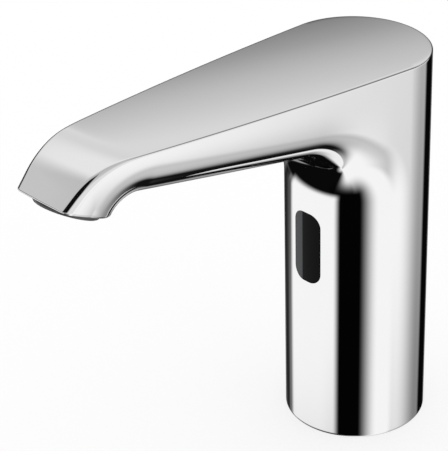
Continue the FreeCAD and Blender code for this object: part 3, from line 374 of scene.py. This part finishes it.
casting = {  # millimetres and degrees, as the part is drawn
    "radius": 24.0,
    "height": 137.1,  # of the top over the column's axis
    "topRise": 3.75,  # climb of the flat top towards the nose
    "wall": 3.0,
    "sideAngle": 2.4,  # where the flanks leave the round of the column
    "sideBow": 1240.0,  # radius of the flanks, seen from above
    "noseStart": 112.0,  # the roll over the nose starts here
    "noseRadius": 24.0,
    "noseSlope": 43.0,
    "noseCrown": 108.0,  # radius of the nose, seen from above
    "rollBlend": 4.0,  # over this length the flat top turns into the roll
    "topCrown": 0.0006,  # drop of the flat top towards its sides, per square millimetre
    "topPasses": 8,  # rounds that settle the height of the leaning top
    "lipForward": 134.3,
    "lipHeight": 134.0,
    "outletTilt": 26.0,
    "throatHeight": 92.0,
    "throatRadius": 22.5,
    "undersideRise": 11.6,
    "undersideLength": 62.8,
    "neckRadius": 7.5,
    "nozzleDrop": 56.0,
    "nozzleLength": 24.0,
    "bellyDepth": 13.0,
    "nozzleDepth": 15.0,
    "bellyFullness": 0.35,
    "bellyTurn": 3,  # the higher, the earlier in the throat the belly takes the local width at its sides
    "bellyPower": 6,  # the higher, the nearer to the flanks that stays
    "bulkheadForward": 99.0,  # the hollow ends here
    "creaseRound": 0.62,  # rounding along the top edge
    "noseRound": 2.6,  # the same at the front corners
    "roundStart": 104.0,  # from here forward the rounding grows
    "roundRun": 30.0,  # over this length
    "roundSteps": 8,
    "flankTuck": 0.10,  # how far the flanks draw in towards the keel, as a share of the half width
    "tuckGrowth": 1.6,  # how fast the tuck comes in along the throat
    "tuckDelay": 0.6,  # the higher, the later it starts
    "rimRound": 0.7,
    "footRound": 0.5,
    "bevelSteps": 5,
    "edgeBand": 0.45,  # narrow faces beside each rounding
    "trimStage": 2.5,  # ahead of this the rows bend to the outlet face
    "trimPasses": 40,  # halvings that find the outlet face
    "slopeStep": 0.01,  # half the distance over which a slope is measured
    "columnRows": 12,
    "hollowStage": 2.6,  # where the cutter for the hollow ends, before the bulkhead trims it
    "hollowBelow": 1.0,  # how far it reaches below the foot
    "smoothAngle": 30.0,
}
grids = {  # steps of each skin along its parts
    "tapShell": {"belly": 96, "wall": 10, "top": 36, "trim": 26, "throat": 30, "underside": 12, "neck": 12},
    "inside": {"belly": 48, "wall": 3, "top": 8, "trim": 0, "keel": 26},
}


def ease(share):
    share = min(1.0, max(0.0, share))
    return share * share * (3 - 2 * share)


def halfAcross(forward):
    radius, bow = casting["radius"], casting["sideBow"]
    angle = math.radians(casting["sideAngle"])
    if forward <= radius * math.sin(angle):
        return math.sqrt(radius ** 2 - forward ** 2)
    across = (radius - bow) * math.cos(angle)
    along = (radius - bow) * math.sin(angle)
    return across + math.sqrt(bow ** 2 - (forward - along) ** 2)


# The keel is the middle line of the front and the underside. Its throat is stages 0 to 1, its straight run
# 1 to 2, its neck 2 to 3 and its nozzle 3 to 4. The heading is 0 straight up.
def keelPoint(stage):
    rise = math.radians(casting["undersideRise"])
    drop = math.radians(casting["nozzleDrop"])
    heading = (math.pi / 2 - rise) * min(stage, 1.0)
    forward = casting["radius"] + casting["throatRadius"] * (1 - math.cos(heading))
    height = casting["throatHeight"] + casting["throatRadius"] * math.sin(heading)
    if stage > 1:
        run = casting["undersideLength"] * min(stage - 1, 1.0)
        forward += run * math.cos(rise)
        height += run * math.sin(rise)
    if stage > 2:
        slope = rise - (rise + drop) * min(stage - 2, 1.0)
        forward += casting["neckRadius"] * (math.sin(rise) - math.sin(slope))
        height += casting["neckRadius"] * (math.cos(slope) - math.cos(rise))
        heading = math.pi / 2 - slope
    if stage > 3:
        run = casting["nozzleLength"] * (stage - 3)
        forward += run * math.cos(drop)
        height -= run * math.sin(drop)
    return forward, height, heading


def bellyDepth(stage, inset):
    depth = casting["radius"] - inset + (casting["bellyDepth"] - casting["radius"]) * ease(stage)
    return depth + (casting["nozzleDepth"] - casting["bellyDepth"]) * ease(stage - 2)


def flankForward(stage, inset):
    forward, _, heading = keelPoint(stage)
    return max(0.0, forward - (inset + bellyDepth(stage, inset)) * math.cos(heading))


def bellyPoint(stage, share, inset):
    forward, height, heading = keelPoint(stage)
    power = 2 + casting["bellyFullness"] * ease(stage)
    across, down = abs(math.sin(share * math.pi / 2)), max(0.0, math.cos(share * math.pi / 2))
    size = (across ** power + down ** power) ** (1 / power)
    across /= size
    climb = inset + bellyDepth(stage, inset) * (1 - down / size)
    at = forward - climb * math.cos(heading)
    flankWidth = halfAcross(flankForward(stage, inset)) - inset
    localWidth = halfAcross(max(0.0, at)) - inset
    x = across * flankWidth
    x += (localWidth - flankWidth) * ease(casting["bellyTurn"] * stage) * across ** casting["bellyPower"]
    return Vector((math.copysign(x, share), -at, height + climb * math.sin(heading)))


# The top is turned about an axis that leans back: flat, then rolling over the crowned nose to a slope.
def topHeight(x, forward, inset):
    rise = math.radians(casting["topRise"])
    turn = rise + math.radians(casting["noseSlope"])
    flatRadius = casting["noseCrown"] - casting["noseRadius"] * math.sin(turn)
    roll = casting["noseRadius"] - inset
    axisForward = casting["noseStart"] - flatRadius * math.cos(rise)
    axisHeight = casting["height"] + axisForward * math.tan(rise)
    along = axisForward - forward
    drop = -inset
    for _ in range(casting["topPasses"]):
        z = (drop - along * math.sin(rise)) / math.cos(rise)
        out = math.hypot(x, along * math.cos(rise) - z * math.sin(rise)) - flatRadius
        out = (out + math.hypot(out, casting["rollBlend"])) / 2
        drop = -inset - casting["topCrown"] * x ** 2
        if out > roll * math.sin(turn):
            drop -= roll * (1 - math.cos(turn)) + (out - roll * math.sin(turn)) * math.tan(turn)
        else:
            drop -= roll - math.sqrt(roll ** 2 - out ** 2)
    return axisHeight + (drop - along * math.sin(rise)) / math.cos(rise)


def roundingAt(forward):
    growth = ease((forward - casting["roundStart"]) / casting["roundRun"])
    return casting["creaseRound"] + (casting["noseRound"] - casting["creaseRound"]) * growth


# Which way the top faces, and which way the right wall does.
def topFacing(x, forward):
    small = casting["slopeStep"]
    across = (topHeight(x + small, forward, 0.0) - topHeight(x - small, forward, 0.0)) / (2 * small)
    along = (topHeight(x, forward + small, 0.0) - topHeight(x, forward - small, 0.0)) / (2 * small)
    return Vector((-across, along, 1)).normalized()


def wallFacing(forward):
    small = casting["slopeStep"]
    slope = 0.0
    if forward > small:
        slope = (halfAcross(forward + small) - halfAcross(forward - small)) / (2 * small)
    return Vector((1, slope, 0)).normalized()


# A point of the rounding between a wall and the top: share 0 lies on the wall and 1 on the top.
def roundPoint(corner, wallNormal, upNormal, radius, share):
    reach = radius * math.tan(wallNormal.angle(upNormal) / 2)
    upWall = (upNormal - wallNormal * wallNormal.dot(upNormal)).normalized()
    centre = corner - upWall * reach - wallNormal * radius
    return centre + wallNormal.slerp(upNormal, share) * radius


# One closed section: belly, right wall, right rounding, top, left rounding, left wall.
def sectionPlaces(grid):
    bellySteps, wallSteps, topSteps = grid["belly"], grid["wall"], grid["top"]
    roundSteps = casting["roundSteps"]
    places = [("belly", 2 * i / bellySteps - 1) for i in range(bellySteps + 1)]
    places += [("right", (i + 1) / wallSteps) for i in range(wallSteps)]
    places += [("rightRound", i / roundSteps) for i in range(roundSteps + 1)]
    places += [("top", 1 - 2 * i / topSteps) for i in range(topSteps + 1)]
    places += [("leftRound", 1 - i / roundSteps) for i in range(roundSteps + 1)]
    places += [("left", 1 - i / wallSteps) for i in range(wallSteps)]
    return places


# The flanks are drawn in a little towards the keel, so they are not quite upright along the spout.
def tucked(point, stage, inset):
    top = topHeight(abs(point.x), -point.y, inset)
    low = bellyPoint(stage, 0.0, inset).z
    share = min(1.0, max(0.0, (top - point.z) / (top - low)))
    growth = ease(casting["tuckGrowth"] * stage - casting["tuckDelay"])
    point.x *= 1 - casting["flankTuck"] * growth * share ** 2
    return point


def sectionPoint(place, stage, inset):
    kind, share = place
    if kind == "belly":
        return tucked(bellyPoint(stage, share, inset), stage, inset)
    forward = flankForward(stage, inset)
    half = halfAcross(forward) - inset
    corner = Vector((half, -forward, topHeight(half, forward, inset)))
    wallNormal = wallFacing(forward)
    upNormal = topFacing(half, forward)
    radius = roundingAt(forward)
    side = -1 if kind.startswith("left") or (kind == "top" and share < 0) else 1
    if kind.endswith("Round"):
        point = roundPoint(corner, wallNormal, upNormal, radius, share)
    elif kind == "top":
        edge = roundPoint(corner, wallNormal, upNormal, radius, 1.0)
        reach = abs(share)
        x = reach * (edge.x - casting["edgeBand"])
        y = corner.y + (edge.y - corner.y) * reach ** 2
        point = Vector((x, y, topHeight(x, -y, inset)))
    else:
        edge = roundPoint(corner, wallNormal, upNormal, radius, 0.0)
        low = bellyPoint(stage, 1.0, inset)
        run = edge - low
        point = low + run * share * (1 - casting["edgeBand"] / run.length)
        point.x = halfAcross(-point.y) - inset
        point = tucked(point, stage, inset)
    return Vector((side * point.x, point.y, point.z))


def outletSide(point):
    tilt = math.radians(casting["outletTilt"])
    behind, above = point.y + casting["lipForward"], point.z - casting["lipHeight"]
    return behind * math.sin(tilt) + above * math.cos(tilt)


def outletStage(place):
    low, high = casting["trimStage"], 4.0
    for _ in range(casting["trimPasses"]):
        middle = (low + high) / 2
        if outletSide(sectionPoint(place, middle, 0.0)) > 0:
            low = middle
        else:
            high = middle
    return low


def steps(start, end, count):
    return [start + (end - start) * i / count for i in range(count)]


# A skin is gathered as points, faces and the edges that are rounded later, with their radius.
def put(skin, point):
    skin["points"].append(point)
    return len(skin["points"]) - 1


def strip(skin, lower, upper, closed=True):
    count = len(lower)
    for i in range(count if closed else count - 1):
        after = (i + 1) % count
        skin["faces"].append((lower[i], lower[after], upper[after], upper[i]))


def stripAll(skin, rows):
    for lower, upper in zip(rows, rows[1:]):
        strip(skin, lower, upper)


def soften(skin, chain, size):
    for a, b in zip(chain, chain[1:] + chain[:1]):
        skin["rounds"][(min(a, b), max(a, b))] = size


# The spout from the throat to the outlet. Past the trim stage its rows bend to meet the outlet face.
# It gives back its first row, which stands at the throat's height.
def addSpout(skin, grid, stages, inset):
    points = skin["points"]
    places = sectionPlaces(grid)
    rows = [[put(skin, sectionPoint(place, stage, inset)) for place in places] for stage in stages]
    band = casting["rimRound"] + casting["edgeBand"]
    if grid["trim"]:
        start = casting["trimStage"]
        short = band / casting["nozzleLength"]
        ends = [outletStage(place) for place in places]
        for row in range(1, grid["trim"] + 1):
            share = row / grid["trim"]
            rows.append([put(skin, sectionPoint(place, start + (end - short - start) * share, inset))
                         for place, end in zip(places, ends)])
        rows.append([put(skin, sectionPoint(place, end, inset)) for place, end in zip(places, ends)])
    stripAll(skin, rows)
    rim = rows[-1]
    middle = sum((points[i] for i in rim), Vector()) / len(rim)
    inner = [put(skin, points[i] + (middle - points[i]).normalized() * band) for i in rim]
    strip(skin, rim, inner)
    skin["faces"].append(tuple(inner))
    soften(skin, rim, casting["rimRound"])
    return rows[0]


# The column from the foot up to the throat. It gives back the points of its rear half at the top.
def addColumn(skin, front, turns, radius, bottom):
    points = skin["points"]
    throat, count = casting["throatHeight"], casting["columnRows"]
    band = casting["footRound"] + casting["edgeBand"]
    levels = [bottom, bottom + band] + [bottom + (throat - bottom) * i / count for i in range(1, count)]
    rings = []
    for level in levels:
        ring = [put(skin, Vector((points[i].x, points[i].y, level))) for i in front]
        ring += [put(skin, Vector((radius * math.cos(a), radius * math.sin(a), level))) for a in turns]
        rings.append(ring)
    back = [put(skin, Vector((radius * math.cos(a), radius * math.sin(a), throat))) for a in turns]
    rings.append(front + back)
    stripAll(skin, rings)
    foot = rings[0]
    inward = 1 - band / radius
    sole = [put(skin, Vector((points[i].x * inward, points[i].y * inward, bottom))) for i in foot]
    strip(skin, foot, sole)
    skin["faces"].append(tuple(sole))
    soften(skin, foot, casting["footRound"])
    return back


# The rear wall from the throat up to its rounding, row by row between the spout's right and left sides.
def addRear(skin, lower, sides, turns, radius, wallSteps, inset):
    throat, rounding, roundSteps = casting["throatHeight"], casting["creaseRound"], casting["roundSteps"]
    upNormal = topFacing(0.0, 0.0)
    for step, (right, left) in enumerate(sides):
        upper = [right]
        for a in turns:
            wallNormal = Vector((math.cos(a), math.sin(a), 0))
            corner = wallNormal * radius
            corner.z = topHeight(corner.x, -corner.y, inset)
            if step < wallSteps:
                edge = roundPoint(corner, wallNormal, upNormal, rounding, 0.0)
                run = edge.z - throat
                height = throat + run * (step + 1) / wallSteps * (1 - casting["edgeBand"] / run)
                point = Vector((corner.x, corner.y, height))
            else:
                point = roundPoint(corner, wallNormal, upNormal, rounding, (step - wallSteps) / roundSteps)
            upper.append(put(skin, point))
        upper.append(left)
        strip(skin, lower, upper, closed=False)
        lower = upper
    return lower


# The round end of the top, in rings that shrink to its middle.
def addTopEnd(skin, lower, topRow, turns, inset):
    for ring in range(len(topRow) // 2):
        reach = skin["points"][topRow[ring]].x
        upper = [topRow[ring]]
        for a in turns:
            x, y = reach * math.cos(a), reach * math.sin(a)
            upper.append(put(skin, Vector((x, y, topHeight(x, -y, inset)))))
        upper.append(topRow[-1 - ring])
        strip(skin, lower, upper, closed=False)
        lower = upper
    skin["faces"].append(tuple(lower) + (topRow[len(topRow) // 2],))


# Bevel weights are shares of this.
def widestRound():
    return max(casting["rimRound"], casting["footRound"])


def skinPiece(name, skin):
    mesh = bpy.data.meshes.new(name)
    mesh.from_pydata([point * mm for point in skin["points"]], [], skin["faces"])
    piece = bpy.data.objects.new(name, mesh)
    bpy.context.scene.collection.objects.link(piece)
    weights = mesh.attributes.new("bevel_weight_edge", "FLOAT", "EDGE")
    for edge in mesh.edges:
        size = skin["rounds"].get((min(edge.vertices), max(edge.vertices)))
        if size:
            weights.data[edge.index].value = size / widestRound()
    makeActive(piece)
    bpy.ops.object.mode_set(mode="EDIT")
    bpy.ops.mesh.select_all(action="SELECT")
    bpy.ops.mesh.normals_make_consistent(inside=False)
    bpy.ops.object.mode_set(mode="OBJECT")
    return piece


def castingSkin(name, inset, bottom, stages):
    grid = grids[name]
    radius = casting["radius"] - inset
    turns = [math.pi * i / grid["belly"] for i in range(1, grid["belly"])]
    skin = {"points": [], "faces": [], "rounds": {}}
    throatRow = addSpout(skin, grid, stages, inset)
    front = throatRow[:grid["belly"] + 1]
    back = addColumn(skin, front, turns, radius, bottom)
    sideCount = grid["wall"] + casting["roundSteps"] + 1
    rightSide = throatRow[len(front):len(front) + sideCount]
    leftSide = throatRow[:-sideCount - 1:-1]
    topRow = throatRow[len(front) + sideCount:-sideCount]
    seam = [front[-1]] + back + [front[0]]
    crease = addRear(skin, seam, zip(rightSide, leftSide), turns, radius, grid["wall"], inset)
    addTopEnd(skin, crease, topRow, turns, inset)
    return skinPiece(name, skin)


def roundEdges(shell):
    rounding = shell.modifiers.new("rounding", "BEVEL")
    rounding.limit_method = "WEIGHT"
    rounding.width = widestRound() * mm
    rounding.segments = casting["bevelSteps"]
    rounding.use_clamp_overlap = False
    applyAll(shell)


def cutHollow(shell):
    end = casting["hollowStage"]
    stages = steps(0, end, grids["inside"]["keel"]) + [end]
    inside = castingSkin("inside", casting["wall"], -casting["hollowBelow"], stages)
    makeActive(inside)
    bpy.ops.object.mode_set(mode="EDIT")
    bpy.ops.mesh.select_all(action="SELECT")
    bpy.ops.mesh.bisect(plane_co=(0, -casting["bulkheadForward"] * mm, 0), plane_no=(0, -1, 0),
                        use_fill=True, clear_outer=True)
    bpy.ops.object.mode_set(mode="OBJECT")
    cutWith(shell, inside)


window = {"width": 11.4, "height": 26.2, "corner": 4.4, "centre": 71.5, "cut": 20.0, "segments": 10}


def cutWindow(shell):
    bpy.ops.mesh.primitive_cube_add(size=1, location=(0, -casting["radius"] * mm, window["centre"] * mm),
                                    scale=(window["width"] * mm, window["cut"] * mm, window["height"] * mm))
    hole = bpy.context.object
    bpy.ops.object.transform_apply(location=True, rotation=True, scale=True)
    bpy.ops.object.mode_set(mode="EDIT")
    bpy.ops.mesh.select_all(action="DESELECT")
    bpy.ops.object.mode_set(mode="OBJECT")
    for edge in hole.data.edges:
        a, b = (hole.data.vertices[i].co for i in edge.vertices)
        edge.select = abs(a.y - b.y) > window["cut"] * mm / 2
    bpy.ops.object.mode_set(mode="EDIT")
    bpy.ops.mesh.select_mode(type="EDGE")
    bpy.ops.mesh.bevel(offset=window["corner"] * mm, segments=window["segments"])
    bpy.ops.object.mode_set(mode="OBJECT")
    cutWith(shell, hole)


# The round socket behind the outlet face, which the aerator sits in.
pocket = {"back": 12.0, "radius": 7.7, "depth": 5.65, "sides": 96}


def cutPocket(shell):
    tilt = math.radians(casting["outletTilt"])
    mouth = Vector((0, -casting["lipForward"], casting["lipHeight"]))
    mouth += Vector((0, math.cos(tilt), -math.sin(tilt))) * pocket["back"]
    bpy.ops.mesh.primitive_cylinder_add(vertices=pocket["sides"], radius=pocket["radius"] * mm,
                                        depth=2 * pocket["depth"] * mm, location=mouth * mm,
                                        rotation=(-tilt, 0, 0))
    cutWith(shell, bpy.context.object)


# The casting that shows: an outer skin, rounded, then hollowed and opened for the window and the aerator.
def buildCasting():
    grid, trim = grids["tapShell"], casting["trimStage"]
    stages = steps(0, 1, grid["throat"]) + steps(1, 2, grid["underside"])
    stages += steps(2, trim, grid["neck"]) + [trim]
    shell = castingSkin("tapShell", 0.0, 0.0, stages)
    roundEdges(shell)
    print("casting skin:", len(shell.data.polygons), "faces")
    cutHollow(shell)
    cutWindow(shell)
    cutPocket(shell)
    makeActive(shell)
    bpy.ops.object.shade_smooth_by_angle(angle=math.radians(casting["smoothAngle"]))
    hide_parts("tap_body")
    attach(shell, "casting")
    shell.data.materials.append(makeChrome("chrome_shell_mirror"))
    print("casting built:", len(shell.data.polygons), "faces")


# Polished plating: a mirror with the faintest haze and unevenness.
chrome = {"tones": ((0.895, 0.895, 0.895), (0.915, 0.915, 0.915)), "gloss": (0.025, 0.05),
          "haze": 0.012, "hazeDetail": 5.0, "wave": 0.03, "waveDetail": 1.0, "depth": 3e-6, "bump": 1.0}


def makeChrome(name):
    material, tree, shader = newMaterial(name)
    haze = grain(tree, chrome["haze"], chrome["hazeDetail"])
    tree.links.new(blend(tree, haze, *chrome["tones"]), shader.inputs["Base Color"])
    tree.links.new(between(tree, haze, *chrome["gloss"]), shader.inputs["Roughness"])
    waves = grain(tree, chrome["wave"], chrome["waveDetail"])
    tree.links.new(bump(tree, waves, chrome["depth"], chrome["bump"]), shader.inputs["Normal"])
    shader.inputs["Metallic"].default_value = 1.0
    return material


# The window is tinted through, with a painted reflection down its left side: a paler strip in its colour.
tint = {"deep": (0.0012, 0.0012, 0.0015), "paintedReflection": (0.075, 0.077, 0.08), "edge": -0.0021, "soft": 0.0003,
        "mottle": 0.003, "mottleLevels": (0.85, 1.0), "grain": 0.0015, "gloss": (0.03, 0.07),
        "specular": 0.06}


def makeWindow():
    material, tree, shader = newMaterial("window_black_surface")
    coord = tree.nodes.new("ShaderNodeTexCoord")
    split = tree.nodes.new("ShaderNodeSeparateXYZ")
    tree.links.new(coord.outputs["Object"], split.inputs[0])
    # Painted reflection: a paler strip down the window's left side, set by the Object x coordinate, not by
    # any lamp.
    paintedReflectionMask = tree.nodes.new("ShaderNodeMapRange")
    paintedReflectionMask.interpolation_type = "SMOOTHSTEP"
    tree.links.new(split.outputs[0], paintedReflectionMask.inputs["Value"])
    paintedReflectionMask.inputs["From Min"].default_value = tint["edge"] + tint["soft"]
    paintedReflectionMask.inputs["From Max"].default_value = tint["edge"] - tint["soft"]
    mottle = between(tree, grain(tree, tint["mottle"]), *tint["mottleLevels"])
    share = mathNode(tree, "MULTIPLY", paintedReflectionMask.outputs[0], mottle)
    tree.links.new(blend(tree, share, tint["deep"], tint["paintedReflection"]), shader.inputs["Base Color"])
    tree.links.new(between(tree, grain(tree, tint["grain"]), *tint["gloss"]), shader.inputs["Roughness"])
    shader.inputs["Specular IOR Level"].default_value = tint["specular"]
    return material


# Sizes of grain, pitch and depth are in metres, and tracks are counted per metre. Tones and gloss run
# between two values, and the pattern is the fine relief.
finishes = {
    "seal_rubber": {"tones": ((0.022, 0.022, 0.023), (0.042, 0.042, 0.043)), "gloss": (0.5, 0.68),
                    "pattern": ("grain", 0.00012), "depth": 2e-5},
    "diaphragm_rubber": {"tones": ((0.04, 0.04, 0.045), (0.065, 0.065, 0.07)), "gloss": (0.45, 0.6),
                         "pattern": ("grain", 0.00018), "depth": 2e-5},
    "black_moulding": {"tones": ((0.022, 0.022, 0.024), (0.04, 0.04, 0.042)), "gloss": (0.42, 0.55),
                       "pattern": ("grain", 0.0003), "depth": 3e-5},
    "board_green": {"tones": ((0.02, 0.13, 0.055), (0.05, 0.24, 0.11)), "gloss": (0.22, 0.34),
                    "pattern": ("tracks", 420.0), "depth": 4e-5},
    "clear_violet": {"tones": ((0.13, 0.10, 0.21), (0.19, 0.14, 0.27)), "gloss": (0.06, 0.12),
                     "pattern": ("grain", 0.0006), "depth": 5e-6},
    "dark_lens": {"tones": ((0.022, 0.014, 0.03), (0.04, 0.026, 0.05)), "gloss": (0.06, 0.12),
                  "pattern": ("grain", 0.0006), "depth": 5e-6},
    "spring_steel": {"tones": ((0.52, 0.52, 0.53), (0.68, 0.68, 0.69)), "gloss": (0.22, 0.38),
                     "pattern": ("lines", 0.00008), "depth": 8e-6, "metal": 1.0},
    "bright_screws": {"tones": ((0.56, 0.56, 0.57), (0.72, 0.72, 0.73)), "gloss": (0.2, 0.36),
                      "pattern": ("turned", 0.00014), "depth": 1e-5, "metal": 1.0},
    "lead_black": {"tones": ((0.018, 0.018, 0.018), (0.034, 0.034, 0.034)), "gloss": (0.34, 0.48),
                   "pattern": ("lines", 0.0002), "depth": 1e-5},
    "lead_red": {"tones": ((0.28, 0.022, 0.02), (0.40, 0.04, 0.035)), "gloss": (0.34, 0.48),
                 "pattern": ("lines", 0.0002), "depth": 1e-5},
    "raw_brass": {"tones": ((0.62, 0.46, 0.20), (0.78, 0.62, 0.31)), "gloss": (0.24, 0.4),
                  "pattern": ("turned", 0.0002), "depth": 1.2e-5, "metal": 1.0},
    "valve_plastic": {"tones": ((0.038, 0.038, 0.042), (0.066, 0.066, 0.07)), "gloss": (0.4, 0.56),
                      "pattern": ("grain", 0.0005), "depth": 3e-5},
    "pale_plastic": {"tones": ((0.72, 0.70, 0.64), (0.82, 0.81, 0.77)), "gloss": (0.36, 0.5),
                     "pattern": ("grain", 0.0006), "depth": 1.5e-5},
    "plunger_steel": {"tones": ((0.46, 0.46, 0.47), (0.62, 0.62, 0.63)), "gloss": (0.24, 0.36),
                      "pattern": ("turned", 0.0001), "depth": 6e-6, "metal": 1.0},
    "zinc_steel": {"tones": ((0.52, 0.53, 0.54), (0.68, 0.69, 0.70)), "gloss": (0.3, 0.5),
                   "pattern": ("grain", 0.0012), "depth": 8e-6, "metal": 1.0},
    "winding_copper": {"tones": ((0.50, 0.22, 0.11), (0.72, 0.37, 0.20)), "gloss": (0.22, 0.34),
                       "pattern": ("turned", 0.00035), "depth": 8e-5, "metal": 1.0},
    "pipe_copper": {"tones": ((0.62, 0.35, 0.22), (0.80, 0.49, 0.33)), "gloss": (0.24, 0.42),
                    "pattern": ("grain", 0.0018), "depth": 1e-5, "metal": 1.0},
    "dark_ring": {"tones": ((0.045, 0.045, 0.047), (0.075, 0.075, 0.077)), "gloss": (0.2, 0.3),
                  "pattern": ("grain", 0.0004), "depth": 1e-5},
    "aerator_grey": {"tones": ((0.17, 0.18, 0.19), (0.27, 0.28, 0.29)), "gloss": (0.34, 0.48),
                     "pattern": ("grain", 0.0005), "depth": 2e-5},
    "woven_steel": {"tones": ((0.10, 0.10, 0.10), (0.72, 0.72, 0.73)), "gloss": (0.24, 0.4),
                    "pattern": ("weave", 0.0005), "depth": 1.5e-4, "metal": 1.0},
}
surface = {
    "mottle": 0.004,  # the slow change of tone that all of them share
    "mottleDetail": 4.0,
    "lineDetail": 2.0,
    "lineStretch": (1, 1, 0.04),  # drawn lines run upwards
    "turnedX": 0.003,  # the turned rings are centred on the valve's axis
    "turnedY": 0.0058,
    "fineShare": 0.35,  # how much of the relief shows in the tone
    "boldShare": 0.75,
    "bump": 0.6,
}


def makeFinish(slot):
    given = finishes[slot]
    material, tree, shader = newMaterial(slot + "_surface")
    mottle = grain(tree, surface["mottle"], surface["mottleDetail"])
    kind, size = given["pattern"]
    if kind == "lines":
        relief = grain(tree, size, surface["lineDetail"], surface["lineStretch"])
    elif kind == "grain":
        relief = grain(tree, size)
    elif kind == "turned":
        relief = effect(tree, "turned", Centre_X=surface["turnedX"], Centre_Y=surface["turnedY"], Pitch=size)
    elif kind == "weave":
        relief = effect(tree, "weave", Pitch=size)
    else:
        relief = effect(tree, "tracks", Scale=size)
    share = surface["fineShare"] if kind in ("grain", "lines") else surface["boldShare"]
    tone = mathNode(tree, "MULTIPLY_ADD", mathNode(tree, "SUBTRACT", relief, mottle), share, mottle)
    tree.links.new(blend(tree, tone, *given["tones"]), shader.inputs["Base Color"])
    tree.links.new(between(tree, mottle, *given["gloss"]), shader.inputs["Roughness"])
    tree.links.new(bump(tree, relief, given["depth"], surface["bump"]), shader.inputs["Normal"])
    shader.inputs["Metallic"].default_value = given.get("metal", 0.0)
    return material


def dressNodes():
    made = {slot: makeFinish(slot) for slot in finishes}
    made["chrome_shell"] = makeChrome("chrome_hidden_surface")
    made["window_black"] = makeWindow()
    for row in frame["record"]["subparts"]:
        slot = "woven_steel" if row["node"] == "aerator_screen" else row["material_slot"]
        piece = nodes[row["node"]]
        piece.data.materials.clear()
        piece.data.materials.append(made[slot])
    print("nodes dressed:", len(made), "materials")


spring = {"weld": 1e-6, "smoothAngle": 40.0}


# The spring sits between the fixed pole above and the plunger that rises under it. Its mesh is copied,
# welded and smoothed, and it rides with the casting.
def buildSpring():
    source = nodes["plunger_spring"]
    mesh = source.data.copy()
    mesh.transform(source.matrix_world)
    coil = bpy.data.objects.new("plungerCoil", mesh)
    bpy.context.scene.collection.objects.link(coil)
    makeActive(coil)
    bpy.ops.object.mode_set(mode="EDIT")
    bpy.ops.mesh.select_all(action="SELECT")
    bpy.ops.mesh.remove_doubles(threshold=spring["weld"])
    bpy.ops.object.mode_set(mode="OBJECT")
    bpy.ops.object.shade_smooth_by_angle(angle=math.radians(spring["smoothAngle"]))
    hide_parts("plunger_spring")
    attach(coil, "casting")
    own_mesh(coil)


placeCamera()
buildWorld()
buildFloor()
dressNodes()
buildCasting()
buildSpring()
bpy.context.scene.view_settings.view_transform = "Standard"
